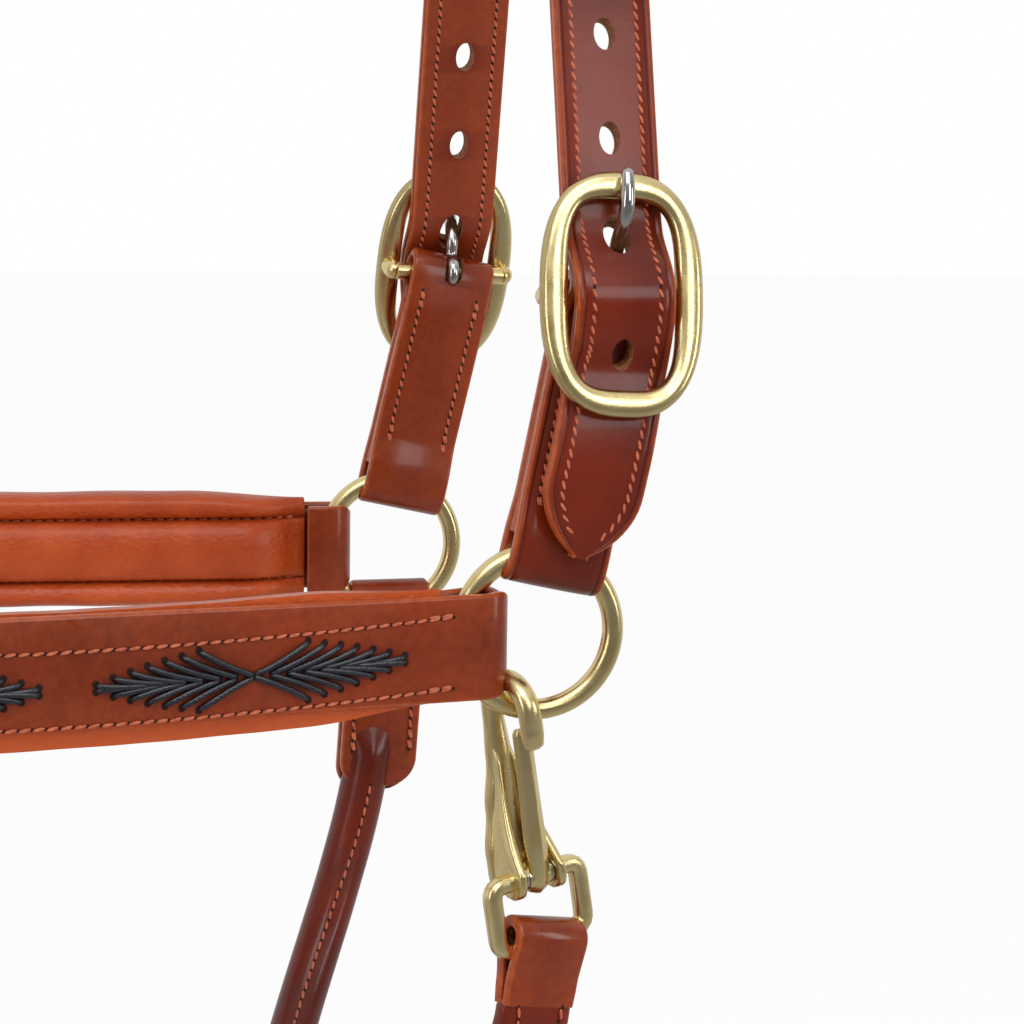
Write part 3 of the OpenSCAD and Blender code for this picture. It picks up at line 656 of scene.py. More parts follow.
def headLength(s, side):
    # length along the headpiece of the place s above the buckle's bar
    y, z = onBuckle(s, headLook["low"])
    target = at(headX(z), side * y, z)
    best = min(range(len(headRoute.points)), key=lambda i: (headRoute.points[i] - target).length)
    return headRoute.lengths[best]


def tailHalf(reach, half):
    # a rounded point
    tip = headLook["tip"]
    if reach >= tip:
        return half
    return half * max(0.09, 1 - (1 - reach / tip) ** 2) ** 0.74


def buildHeadLayer(name, offset, half, material, node, crown, tongueHole):
    length = headRoute.length
    tip = headLook["tip"]
    us = [tip * mm * (1 - math.cos(math.pi / 2 * k / 16)) for k in range(16)]
    us = us + spread(tip * mm, length - tip * mm, 1.8 * mm) + [length - u for u in reversed(us)]
    stands, sections = [], []
    for u in us:
        centre, across, out, forward = headRoute.stand(u, headOut)
        stands.append((centre + out * offset * mm, across, out, forward))
        reach = min(u, length - u) / mm
        wide = tailHalf(reach, half)
        sections.append(strapSection(-wide, wide, headLook["layer"], 0.75, True, crown))
    bm = bmesh.new()
    sweep(bm, stands, sections, runs=us)
    cutter = bmesh.new()
    for side in (-1, 1):
        ovals = [(s, *headLook["hole"]) for s in headLook["holes"]] + [tongueHole, headLook["lowHole"]]
        for s, wideness, longness in ovals:
            centre, across, out, forward = headRoute.stand(headLength(s, side), headOut)
            # a hair off the strap's own edges, so that each cut comes out whole
            sideways, onward = headLook["holeShift"]
            centre = centre + (across * sideways + forward * onward) * mm
            shape = Matrix((across * wideness / 2, forward * longness / 2, out)).transposed() * mm
            spot = Matrix.Translation(centre - out * 6 * mm) @ shape.to_4x4()
            ring = bmesh.ops.create_circle(cutter, cap_ends=True, segments=24, radius=1.0,
                                           matrix=spot)["verts"]
            drawOut(cutter, ring[0].link_faces[:], out * 12 * mm)
    bm = cutAway(bm, cutter, 1)
    finishPiece(name, bm, [material, rawLeather], "headpiece", [node])


buildHeadLayer("headpieceOuter", 1.22, headLook["halfWidth"], tanLeather,
               "headpiece_outer", 0.25, (12.8, 6.4, 10.8))
buildHeadLayer("headpieceLining", -1.2, headLook["halfWidth"] - 0.25, liningLeather,
               "headpiece_lining", 0.0, (12.0, 6.8, 12.4))


def stitchHeadpiece():
    bm = stitchBody()
    look = headLook["stitch"]
    half = headLook["halfWidth"]
    for face, lift in ((1, 2.5), (-1, 2.42)):
        def onRow(u, a):
            centre, across, out, forward = headRoute.stand(u, headOut)
            reach = min(u, headRoute.length - u) / mm
            wide = max(tailHalf(reach, half) - headLook["stitchIn"], 0.1)
            return centre + across * math.copysign(min(abs(a), wide * mm), a), across, out, forward

        def place(u, a, face=face, lift=lift):
            # the rows close in on each other round the tip
            spot, across, out, forward = onRow(u, a)
            step = 0.4 * mm
            forward = (onRow(u + step, a)[0] - onRow(u - step, a)[0]).normalized()
            return spot + out * face * lift * mm, across, out * face, forward
        for a in (-1, 1):
            stitchRow(bm, place, 4.9 * mm, headRoute.length - 4.9 * mm,
                      a * (half - headLook["stitchIn"]) * mm, look, (False, False))
    finishThread("headpieceStitching", bm, "headpiece")


stitchHeadpiece()
print("headpiece made")


# ---- chapes: one strip folded round the ring below and round the bar above, over a filler
chapeLook = {"halfWidth": 12, "thick": 2.9, "fold": 10.4, "foldRadius": 4.35, "barRadius": 4.05,
             "filler": 2.3, "waistSet": 2.5, "slot": 5.2, "pinch": 11, "row": 8.1,
             "stitch": {"pitch": 2.55, "length": 2.3, "slant": 24, "thread": 0.4}}


def chapeAt(side):
    # v outwards, w up the leaned chape, a across it
    def place(v, w, a=0.0):
        x = w * math.sin(lean) + a * math.cos(lean)
        z = w * math.cos(lean) - a * math.sin(lean)
        return at(x, side * (sizes["ringSpan"] + v), z)
    return place


def buildChape(side, name):
    place = chapeAt(side)
    look = chapeLook
    half = look["thick"] / 2
    foldR, barR = look["foldRadius"], look["barRadius"]
    low = look["fold"] + foldR + half
    centreV = -look["waistSet"] * 0.9
    layerOut = look["filler"] / 2 + half
    barW = sizes["barReach"]
    pinch = look["pinch"]
    straight = low + 15
    up = (place(0, 1) - place(0, 0)).normalized()
    away = (place(1, 0) - place(0, 0)).normalized()
    line = []
    for k in range(13):  # round the ring below
        w = math.pi * (1 + k / 12)
        line.append((foldR * math.cos(w), low + foldR * math.sin(w)))
    line += [(4.3, low + 6), (layerOut, straight), (layerOut + centreV, barW - pinch)]
    for k in range(13):  # round the bar above
        w = math.pi * (k / 12)
        line.append((barR * math.cos(w), barW + barR * math.sin(w)))
    line += [(-layerOut + centreV, barW - pinch), (-layerOut, straight), (-4.3, low + 6)]
    route = Route([place(v, w) for v, w in line], 14, closed=True)
    across = (place(0, 0, 1) - place(0, 0, 0)).normalized()

    def sectionAt(u, centre):
        wide = look["halfWidth"] - cornerInset(2.5, (centre - place(0, 0)).dot(up) / mm - look["fold"])
        return strapSection(-wide, wide, look["thick"], 0.9, True, 0.15)

    bm = layStrap(route, [route.length * i / 150 for i in range(150)], across,
                  lambda forward: across.cross(forward).normalized(), sectionAt, closed=True)
    # the tongue's slot over the top fold, round at its lower end
    cutter = bmesh.new()
    slotHalf = look["slot"] / 2
    ring = bmesh.ops.create_circle(cutter, cap_ends=True, segments=24, radius=slotHalf * mm)["verts"]
    for vert in ring:
        if vert.co.y > 0:
            vert.co.y += 16 * mm
    drawOut(cutter, cutter.faces[:], (0, 0, 24 * mm))
    turn = Matrix((across, up, away)).transposed().to_4x4()
    corner = place(-12, barW - 3.4 + slotHalf)
    bmesh.ops.transform(cutter, matrix=Matrix.Translation(corner) @ turn, verts=cutter.verts)
    bm = cutAway(bm, cutter, 1)
    finishPiece(name + "ChapeStrap", bm, [foldLeather, rawLeather], "headpiece",
                [name + "_chape"])
    # the filler shows as a stripe between the two leaves
    stands, sections = [], []
    for k in range(25):
        t = k / 24
        w = low + 6 + (barW - pinch - low - 6) * t
        v = centreV * max(0.0, (w - straight) / (barW - pinch - straight))
        stands.append((place(v, w), across, away, up))
        thin = look["filler"] + 2.6 * max(0.0, 1 - t * 4)
        wide = look["halfWidth"] - 0.35
        sections.append(strapSection(-wide, wide, thin, 0.6, False))
    bm = bmesh.new()
    sweep(bm, stands, sections)
    finishPiece(name + "ChapeFiller", bm, [liningLeather], "headpiece",
                [name + "_chape_filler"])

    def leafAt(w, face):
        v = centreV * min(1.0, max(0.0, (w - straight) / (barW - pinch - straight)))
        rise = max(0.0, (w - barW + pinch + 1.5) / (pinch + 1.5))
        v += rise * (face * (barR - layerOut) - centreV)
        return place(v + face * (layerOut + half + 0.14), w)

    def spot(u, a, face):
        centre = leafAt(u / mm, face)
        forward = (leafAt(u / mm + 0.5, face) - centre).normalized()
        out = across.cross(forward).normalized()
        out *= math.copysign(1, out.dot(place(face, 0) - place(0, 0)))
        return centre + across * a, across, out, forward

    sewBoth(name + "ChapeStitching", "headpiece", spot, look["row"], (low + 13) * mm, (barW - 6.5) * mm,
            look["stitch"])


for side, name in bothSides:
    buildChape(side, name)
print("chapes made")


# ---- buckles: a domed oval rim, the bar set back on two short posts, and a bent steel tongue
buckleLook = {"wide": 39.6, "long": 58, "rim": 6.6, "thick": 5, "lean": 3, "bar": 2.5, "post": 2.75,
              "tongue": 1.8, "eye": 4.3, "barDepth": -7,
              "tongueLine": ((5.6, -6.2), (9.2, -6.0), (13.6, -2.2), (17.2, 2.6), (20.4, 4.6), (25.4, 4.95),
                             (29.0, 4.3))}
buckleTurn = math.radians(buckleLook["lean"])


def buckleFrameAt(side):
    # x across, y up the strap, z outwards, from the middle of the bar's own side of the rim
    upStrap = Vector((0, -math.sin(tilt), math.cos(tilt)))
    xAxis = Vector((math.cos(buckleTurn), 0, 0)) - upStrap * math.sin(buckleTurn)
    yAxis = Vector((math.sin(buckleTurn), 0, 0)) + upStrap * math.cos(buckleTurn)
    zAxis = Vector((0, math.cos(tilt), math.sin(tilt)))

    def place(x, y, z):
        spot = xAxis * x + yAxis * y + zAxis * (z + sizes["barSet"])
        return at(barX + spot.x, side * (sizes["ringSpan"] + spot.y), barZ + spot.z)
    return place


def roundedPoint(wide, long, power, w):
    c, s = math.cos(w), math.sin(w)
    return (wide * math.copysign(abs(c) ** (2 / power), c), long * math.copysign(abs(s) ** (2 / power), s))


def buildBuckle(side, name):
    place = buckleFrameAt(side)
    look = buckleLook
    bm = bmesh.new()
    stands, sections = [], []
    count = 120
    for i in range(count):
        w = 2 * math.pi * i / count
        outer = Vector(roundedPoint(look["wide"] / 2, look["long"] / 2, 2.55, w))
        inner = Vector(roundedPoint(look["wide"] / 2 - look["rim"], look["long"] / 2 - look["rim"], 3.9, w))
        way = (outer - inner).normalized()
        half = (outer - inner).length / 2
        centre = (outer + inner) / 2
        middle = place(centre.x, centre.y, 0)
        across = (place(centre.x + way.x, centre.y + way.y, 0) - middle).normalized()
        out = (place(centre.x, centre.y, 1) - middle).normalized()
        forward = across.cross(out)
        stands.append((middle, across, out, forward))
        section = []
        for k in range(20):
            t = 2 * math.pi * k / 20
            a, n = roundedPoint(half, look["thick"] / 2, 2.5, t)
            n = n if n > 0 else n * 0.92
            # the edge mark, strongest at the rim's inner and outer sides, sets where shade is painted on the
            # brass
            low = max(0.0, abs(a) / half - 0.72) / 0.28
            section.append((a, n + (0.12 if n > 0 else 0), min(1.0, low ** 1.5), 0))
        sections.append(section)
    sweep(bm, stands, sections, closed=True)
    post = look["wide"] / 2 - look["rim"] / 2
    for x in (-post, post):
        tube(bm, [place(x, 0, -1.2), place(x, 0, -3.5), place(x, 0, -5.6), place(x * 0.985, 0, -7.0),
                  place(x * 0.93, 0, -7.05)], look["post"] * mm, 14, 0.8)
    tube(bm, [place(x * post, 0, look["barDepth"]) for x in (-1, -0.5, 0, 0.5, 1)], look["bar"] * mm, 16)
    finishPiece(name + "BuckleFrame", bm, [satinBrass], "headpiece", [name + "_buckle_frame"])
    # the tongue: an eye rolled round the bar, then a round bar through the strap and over the rim
    bm = bmesh.new()
    eyeR, depth = look["eye"], look["barDepth"]
    eye = [(eyeR * math.cos(w), depth + eyeR * math.sin(w))
           for w in [math.radians(-290 + 290 * k / 24) for k in range(25)]]
    wire = look["tongue"] * mm
    tube(bm, [place(0, y, z) for y, z in eye + list(look["tongueLine"])],
         lambda t: wire * (1 - 0.2 * max(0, (t - 0.85) / 0.15)), 18, 0.5)
    finishPiece(name + "BuckleTongue", bm, [brightSteel], name + "_tongue",
                [name + "_buckle_tongue"])


for side, name in bothSides:
    buildBuckle(side, name)


# ---- rings: bent brass wire, a little uneven
def buildRing(name, node, centre, axis, body):
    bm = bmesh.new()
    side = Vector((1, 0, 0))
    other = axis.cross(side).normalized()
    stands, sections = [], []
    count = 96
    for i in range(count):
        w = 2 * math.pi * i / count
        away = side * math.cos(w) + other * math.sin(w)
        stands.append((centre + away * sizes["ringRadius"] * mm, away, axis, away.cross(axis)))
        wire = sizes["wire"] * (1 + 0.012 * math.sin(3 * w + 1))
        # the edge mark darkens the wire's two faces that look along the ring's axis: painted shade
        sections.append([(wire * math.cos(t), wire * math.sin(t), 0.5 * max(0, abs(math.sin(t)) - 0.6), 0)
                         for t in angles(24, 2 * math.pi, 0, 23)])
    sweep(bm, stands, sections, closed=True)
    finishPiece(name, bm, [satinBrass], body, [node])


crosswise = Vector((0, 1, 0))
for side, name in bothSides:
    buildRing(name + "UpperRing", name + "_upper_ring", at(0, side * sizes["ringSpan"], 0), crosswise,
              name + "_ring")
    buildRing(name + "LowerRing", name + "_lower_ring",
              at(-sizes["cheekLength"], side * sizes["lowerSpan"], 0), crosswise, name + "_side_ring")
buildRing("leadRing", "lead_ring", at(-sizes["cheekLength"], 0, -sizes["chinDrop"]), upright, "chin_ring")
print("buckles and rings made")


# ---- cheeks: a strap folded round both rings, laced and padded
cheekLook = {"halfWidth": 12.5, "thick": 3, "slot": 3.85, "fold": {-1: 7.4, 1: 11.6}, "leaf": 24.5, "sink": 2,
             "sag": {-1: 4.4, 1: 0.0}, "lift": {-1: 0.0, 1: 1.5}, "padLift": {-1: 1.5, 1: 0.0},
             "padTrim": {-1: 0.9, 1: 0.0}, "corners": ((3.6, 2.2), (11.5, 6.5)), "blunt": (0.97, 0.8),
             "padHalf": 14.2, "padSwell": 2.0, "valley": 8.6, "padDepth": 11.8, "padStart": 24.75,
              "stitchIn": 4.1,
             "stitch": {"pitch": 3.1, "length": 2.85, "slant": 11, "thread": 0.42},
             "valleyStitch": {"pitch": 3.1, "length": 2.4, "slant": 0, "thread": 0.4}}
laceLook = {"heights": (6.6, 5.7, 4.9, 4.0, 3.0, 1.9, 0.6), "first": 12.8, "pitch": 3.9, "reach": 12.9,
            "thread": 0.74}
cheekGap = sizes["cheekLength"] - 2 * sizes["ringRadius"]
cheekYaw = math.asin((sizes["lowerSpan"] - sizes["ringSpan"]) / cheekGap)
cheekRun = cheekGap / math.cos(cheekYaw) + 2 * sizes["ringRadius"]


def cheekAt(side):
    # u from the upper ring's middle along the cheek, v outwards, w up; the near cheek hangs a little
    def place(u, v, w):
        half = cheekRun / 2
        w += cheekLook["lift"][side] - cheekLook["sag"][side] * max(0.0, 1 - ((u - half) / (half - 9)) ** 2)
        reach = u - sizes["ringRadius"]
        x = -sizes["ringRadius"] - reach * math.cos(cheekYaw) + v * math.sin(cheekYaw)
        y = sizes["ringSpan"] + reach * math.sin(cheekYaw) + v * math.cos(cheekYaw)
        return at(x, side * y, w - cheekLook["sink"])
    return place


def foldLine(low, half, leaf, run):
    # (u, v) from the inner leaf round one ring, along the outside, and round the other ring
    line = [(leaf, -half), (low + half, -half)]
    line += [(low + half - half * math.sin(t), -half * math.cos(t)) for t in angles(14, math.pi, 1, 13)]
    line += [(low + half, half), (run - low - half, half)]
    line += [(run - low - half + half * math.sin(t), half * math.cos(t)) for t in angles(14, math.pi, 1, 13)]
    line += [(run - low - half, -half), (run - leaf, -half)]
    return line


def padSection(depth, half, valley, back, grip, wander):
    # a wide roll between the two rows of stitches and a narrow one outside each
    side = [(-half, 0.0), (-half, 0.25), (-half + 0.3, 0.46), (-half + 1.1, 0.64), (-half + 2.4, 0.755),
            (-half + 3.7, 0.76), (-valley - 1.0, 0.64), (-valley, 0.50 - grip)]
    left = [(a, n * depth) for a, n in side]
    roll = [(-valley * math.cos(math.pi * k / 18), math.sin(math.pi * k / 18)) for k in range(1, 18)]
    middle = [(a, depth * (0.5 - grip * (1 - s) ** 3 + 0.5 * s ** 0.62) + wander * s) for a, s in roll]
    right = [(-a, n) for a, n in reversed(left)]
    section = []
    for a, n in left + middle + right:
        # the crease mark in each valley between the rolls is painted shade
        inValley = max(0.0, 1 - abs(abs(a) - valley) / 0.9)
        section.append((a, back - n, 1.0 if n < depth * 0.2 else 0.0, inValley * 0.9))
    return section + [(half * 0.5, back, 0.6, 0), (0, back, 0.6, 0), (-half * 0.5, back, 0.6, 0)]


def padStands(route, outward, start, end, look, back, trim=0.0):
    # the rolls die away towards both ends, where the cover is sewn down flat and wrinkles
    stands, sections, runs = [], [], []
    steps = spread(start, end, 1.03)
    steps = [start, start + 0.35] + steps[1:-1] + [end - 0.35, end]
    pitch = look["stitch"]["pitch"]
    for i, u in enumerate(steps):
        stands.append(route.stand(u * mm, outward))
        inside = min(u - start, end - u)
        full = eased(inside / 17)
        grip = (0.05 + 0.04 * math.cos(2 * math.pi * (u - start) / pitch)) * full
        spot = stands[-1][0]
        wander = 0.35 * noise.noise(spot * 55) + 0.12 * noise.noise(spot * 190)
        wander += 0.7 * (1 - full) * noise.noise(spot * 330)
        half = look["padHalf"] - trim + look["padSwell"] * eased(inside / 34)
        half += 0.25 * noise.noise(spot * 60)
        depth = look["padDepth"] * (0.34 + 0.66 * full)
        section = padSection(depth, half, look["valley"], back, grip, wander)
        if i in (0, len(steps) - 1):
            section = [(a * 0.985, back - (back - n) * 0.93, max(e, 0.7), c) for a, n, e, c in section]
        sections.append(section)
        runs.append(u * mm)
    return stands, sections, runs


def padFace(look, inside):
    # how deep the pad's valley lies, inside mm from the nearer end
    return look["padDepth"] * (0.34 + 0.66 * eased(inside / 17)) * 0.46


def sewPadded(name, body, look, face, behind, faceEnds, behindEnds, leaves):
    # stitching on the face and in the pad's valleys, and the lacing
    bm = stitchBody()
    row = look["halfWidth"] - look["stitchIn"]
    for a in (-row, row):
        stitchRow(bm, face, *faceEnds, a * mm, look["stitch"])
        stitchRow(bm, behind, *behindEnds, math.copysign(look["valley"], a) * mm, look["valleyStitch"])
    finishThread(name + "Stitching", bm, body)
    bm = stitchBody()
    for middle in leaves:
        for way in (-1, 1):
            layLeaf(bm, face, middle, way, laceLook)
    finishThread(name + "Lacing", bm, body, laceThread)


def buildCheek(side, name):
    place = cheekAt(side)
    look = cheekLook
    mid = look["slot"] + look["thick"] / 2
    fold = look["fold"][side]
    line = foldLine(fold + look["thick"] / 2, mid, look["leaf"], cheekRun)
    route = Route([place(u, v, 0) for u, v in line], 3)
    away = (place(0, 1, 0) - place(0, 0, 0)).normalized()
    along = (place(1, 0, 0) - place(0, 0, 0)).normalized()
    base = place(0, 0, 0)
    runs = spread(0, route.length, 1.5 * mm)
    runs = [runs[0], 0.4 * mm] + runs[1:-1] + [route.length - 0.4 * mm, runs[-1]]

    def sectionAt(u, centre):
        reach = (centre - base).dot(along) / mm
        tip = min(reach, cheekRun - reach) - fold - look["thick"] / 2
        lower, upper = [cornerInset(corner, tip) for corner in look["corners"][reach > cheekRun / 2]]
        return strapSection(lower - look["halfWidth"], look["halfWidth"] - upper, look["thick"], 0.85,
                            True, 0.3)

    bm = layStrap(route, runs, upright, lambda forward: forward.cross(upright) * -side, sectionAt,
                  blunt=look["blunt"])
    finishPiece(name + "CheekStrap", bm, [tanLeather], "cheeks", [name + "_cheek_strap"])
    # the pad behind it
    padLift = look["padLift"][side]
    padRoute = Route([place(cheekRun * k / 40, 0, padLift) for k in range(41)])
    start = look["padStart"]
    stands, sections, runs = padStands(padRoute, away, start, cheekRun - start, look, look["slot"],
                                       look["padTrim"][side])
    bm = bmesh.new()
    sweep(bm, stands, sections, runs=runs)
    finishPiece(name + "CheekPad", bm, [padLeather], "cheeks",
                [name + "_cheek_pad_cover", name + "_cheek_pad_foam"])

    def face(u, a):
        return place(u / mm, look["slot"] + look["thick"] + 0.12, a / mm), upright, away, along

    def behind(u, a):
        deep = padFace(look, min(u, cheekRun * mm - u) / mm - start)
        return place(u / mm, look["slot"] - deep - 0.1, a / mm + padLift), upright, -away, along

    sewPadded(name + "Cheek", "cheeks", look, face, behind,
              ((start - 1.5) * mm, (cheekRun - start + 1.5) * mm),
              ((start + 3) * mm, (cheekRun - start - 3) * mm), (71.2 * mm, 156.2 * mm))


for side, name in bothSides:
    buildCheek(side, name)
print("cheeks made")


# ---- noseband: up from the lower rings, round two corners and across the nose
noseLook = {**cheekLook, "slot": 2.85, "fold": 9.4, "leg": 44, "corner": 60, "tipCorner": 4.5}


def noseLine(offset, startZ):
    # (y, z) from the near leg's start over the nose to the far leg's
    span, leg, corner = sizes["lowerSpan"], noseLook["leg"], noseLook["corner"]
    radius = corner + offset
    line = [(span + offset, startZ), (span + offset, leg)]
    line += [(span - corner + radius * math.cos(t), leg + radius * math.sin(t))
             for t in angles(24, math.pi / 2, 1)]
    return [(-y, z) for y, z in line] + [(y, z) for y, z in reversed(line)]


def buildNoseband():
    look = noseLook
    span = sizes["lowerSpan"]
    x = -sizes["cheekLength"]
    mid = look["slot"] + look["thick"] / 2
    low = look["fold"] + look["thick"] / 2
    hook = [(span - mid, look["leaf"]), (span - mid, low + mid)]
    hook += [(span - mid * math.cos(t), low + mid - mid * math.sin(t)) for t in angles(14, math.pi, 1, 13)]
    line = [(-y, z) for y, z in hook] + noseLine(mid, low + mid) + [(y, z) for y, z in reversed(hook)]
    route = Route([at(x, y, z) for y, z in line], 3)
    across = Vector((-1, 0, 0))

    def sectionAt(u, centre):
        wide = look["halfWidth"] - cornerInset(look["tipCorner"], (centre.z - at(0, 0, low).z) / mm)
        return strapSection(-wide, wide, look["thick"], 0.85, True, 0.3)

    bm = layStrap(route, spread(0, route.length, 1.5 * mm), across,
                  lambda forward: forward.cross(across), sectionAt, blunt=look["blunt"])
    finishPiece("nosebandStrap", bm, [tanLeather], "noseband", ["noseband_strap"])
    middle = Route([at(x, y, z) for y, z in noseLine(0, look["padStart"])])

    def outward(u):
        return middle.heading(u).cross(across)

    stands, sections, runs = padStands(middle, outward, 0.0, middle.length / mm, look, look["slot"])
    bm = bmesh.new()
    sweep(bm, stands, sections, runs=runs)
    finishPiece("nosebandPad", bm, [padLeather], "noseband",
                ["noseband_pad_cover", "noseband_pad_foam"])

    def reader(sign):
        def place(u, a):
            centre, side, out, forward = middle.stand(u, outward)
            if sign < 0:
                lift = look["slot"] - padFace(look, min(u, middle.length - u) / mm) - 0.1
            else:
                lift = look["slot"] + look["thick"] + 0.12
            return centre + side * a + out * lift * mm, side, out * sign, forward
        return place

    sewPadded("noseband", "noseband", look, reader(1), reader(-1), (0.5 * mm, middle.length - 0.5 * mm),
              (3 * mm, middle.length - 3 * mm), [middle.length / 2 + shift * mm for shift in (-85, 0, 85)])


buildNoseband()
print("noseband made")


# ---- plain straps: one strip going round a ring at each end, its two leaves sewn together
plainLook = {"chinFold": 10.96, "chinHalf": 10, "chinCorner": 64, "leafThick": 2.6, "loopHalf": 4.35,
             "jawFold": 9.43, "jawHalf": 5.95, "jawLoop": 10.0, "row": 6.6,
             "stitch": {"pitch": 3.1, "length": 2.8, "slant": 14, "thread": 0.42}}


def buildLoopStrap(name, route, across, half, thick, body, node, tips):
    count = max(60, round(route.length / (1.6 * mm)))

    def sectionAt(u, centre):
        wide = min(half - cornerInset(2.5, (centre - tip).dot(way) / mm) for tip, way in tips)
        return strapSection(-wide, wide, thick, 0.8, True, 0.15)

    bm = layStrap(route, [route.length * i / count for i in range(count)], across,
                  lambda forward: across.cross(forward).normalized(), sectionAt, closed=True)
    finishPiece(name, bm, [tanLeather], body, [node])


def chinLine(side):
    look = plainLook
    span, drop, corner = sizes["lowerSpan"], sizes["chinDrop"], look["chinCorner"]
    half = look["loopHalf"]
    leaf = look["leafThick"] / 2
    low = look["chinFold"] + 1.3 + half
    cornerY, cornerZ = span - corner, corner - drop
    line = [(span + half, -low), (span + half, -25), (span + leaf, -32)]
    line += [(cornerY + (corner + leaf) * math.cos(t), cornerZ - (corner + leaf) * math.sin(t))
             for t in angles(24, math.pi / 2)]
    line += [(32, -drop - leaf), (25, -drop - half)]
    line += [(low - half * math.sin(t), -drop - half * math.cos(t)) for t in angles(12, math.pi)]
    line += [(25, -drop + half), (32, -drop + leaf)]
    line += [(cornerY + (corner - leaf) * math.sin(t), cornerZ - (corner - leaf) * math.cos(t))
             for t in angles(24, math.pi / 2)]
    line += [(span - leaf, -32), (span - half, -25)]
    line += [(span - half * math.cos(t), -low + half * math.sin(t)) for t in angles(12, math.pi, 0, 11)]
    return [at(-sizes["cheekLength"], side * y, z) for y, z in line]


def buildChin(side, name):
    look = plainLook
    across = Vector((1, 0, 0))
    x = -sizes["cheekLength"]
    top = at(x, side * sizes["lowerSpan"], -look["chinFold"])
    foot = at(x, side * look["chinFold"], -sizes["chinDrop"])
    route = Route(chinLine(side), 6, closed=True)
    buildLoopStrap(name + "ChinStrap", route, across, look["chinHalf"], look["leafThick"], "chin",
                   name + "_chin_strap", ((top, Vector((0, 0, -1))), (foot, Vector((0, side, 0)))))
    span, drop, corner = sizes["lowerSpan"], sizes["chinDrop"], look["chinCorner"]
    line = [(span, -32), (span, corner - drop)]
    line += [(span - corner + corner * math.cos(t), corner - drop - corner * math.sin(t))
             for t in angles(24, math.pi / 2, 1)] + [(32, -drop)]
    middle = Route([at(x, side * y, z) for y, z in line])

    def spot(u, a, sign):
        forward = middle.heading(u)
        out = across.cross(forward).normalized() * sign
        return middle.place(u) + across * a + out * (look["leafThick"] + 0.2) * mm, across, out, forward

    sewBoth(name + "ChinStitching", "chin", spot, look["row"], 0, middle.length, look["stitch"])


for side, name in bothSides:
    buildChin(side, name)

# ---- jaw strap: from the lead ring back to a loop round the throat strap
throatLow = Vector((-46, 0, -155))
jawStart = Vector((-sizes["cheekLength"] + sizes["ringRadius"], 0, -sizes["chinDrop"]))
jawSlope = math.atan2(throatLow.z - jawStart.z, throatLow.x - jawStart.x)
jawRun = (throatLow - jawStart).length + sizes["ringRadius"]


def jawAt(u, n):
    along = Vector((math.cos(jawSlope), 0, math.sin(jawSlope)))
    out = Vector((-math.sin(jawSlope), 0, math.cos(jawSlope)))
    spot = jawStart + along * (u - sizes["ringRadius"]) + out * n
    return at(spot.x, spot.y, spot.z)


def buildJaw():
    look = plainLook
    across = Vector((0, 1, 0))
    half, leaf = look["jawHalf"], look["leafThick"] / 2
    low = look["jawFold"] + leaf + half
    loop = look["jawLoop"]
    line = [(low - half * math.sin(t), -half * math.cos(t)) for t in angles(12, math.pi)]
    line += [(26, half), (34, leaf), (jawRun - 15, leaf)]
    line += [(jawRun - loop * math.cos(t), loop * math.sin(t)) for t in
             [math.radians(42 + 276 * k / 24) for k in range(25)]]
    line += [(jawRun - 15, -leaf), (34, -leaf), (26, -half)]
    route = Route([jawAt(u, n) for u, n in line], 10, closed=True)
    buildLoopStrap("jawStrap", route, across, 10, look["leafThick"], "jaw", "jaw_strap",
                   ((jawAt(look["jawFold"], 0), (jawAt(1, 0) - jawAt(0, 0)).normalized()),))

    def spot(u, a, sign):
        out = (jawAt(0, sign) - jawAt(0, 0)).normalized()
        centre = jawAt(u / mm, sign * (look["leafThick"] + 0.2))
        return centre + across * a, across, out, (jawAt(1, 0) - jawAt(0, 0)).normalized()

    sewBoth("jawStitching", "jaw", spot, look["row"], 36 * mm, (jawRun - 17) * mm, look["stitch"])


buildJaw()
print("chin and jaw straps made")

# ---- the snap: its frame has z down the body, y through the ring and x along the bars
snapLook = {"turn": 18, "lean": 9, "hookX": -6.43, "hookZ": -17.67, "hook": 2.6, "reach": 8.1, "drop": 1.7,
            "length": 42, "eyeDrop": 58, "eye": 2.2, "eyeWide": 25, "gate": 4.6, "gateFoot": 6.0,
            "gateBarrel": 3.5, "ear": 4.7, "earIn": 4.3, "earThick": 2.9, "coil": 2.9, "eyeBend": 2.4}
snapTurn = math.radians(snapLook["turn"])
snapLean = math.radians(snapLook["lean"])


def snapAt(x, y, z):
    turnedX = x * math.cos(snapTurn) - y * math.sin(snapTurn)
    turnedY = x * math.sin(snapTurn) + y * math.cos(snapTurn)
    return at(snapLook["hookX"] + turnedX * math.cos(snapLean) - z * math.sin(snapLean),
              turnedY - sizes["ringSpan"],
              snapLook["hookZ"] + turnedX * math.sin(snapLean) + z * math.cos(snapLean))


def snapWay(x, y, z):
    return (snapAt(x, y, z) - snapAt(0, 0, 0)).normalized()


def mixed(stops, t):
    # straight-line values between (t, value, value, ...) stops
    for a, b in zip(stops, stops[1:]):
        if t <= b[0]:
            part = (t - a[0]) / max(b[0] - a[0], 1e-9)
            return [p + (q - p) * eased(part) for p, q in zip(a[1:], b[1:])]
    return list(stops[-1][1:])


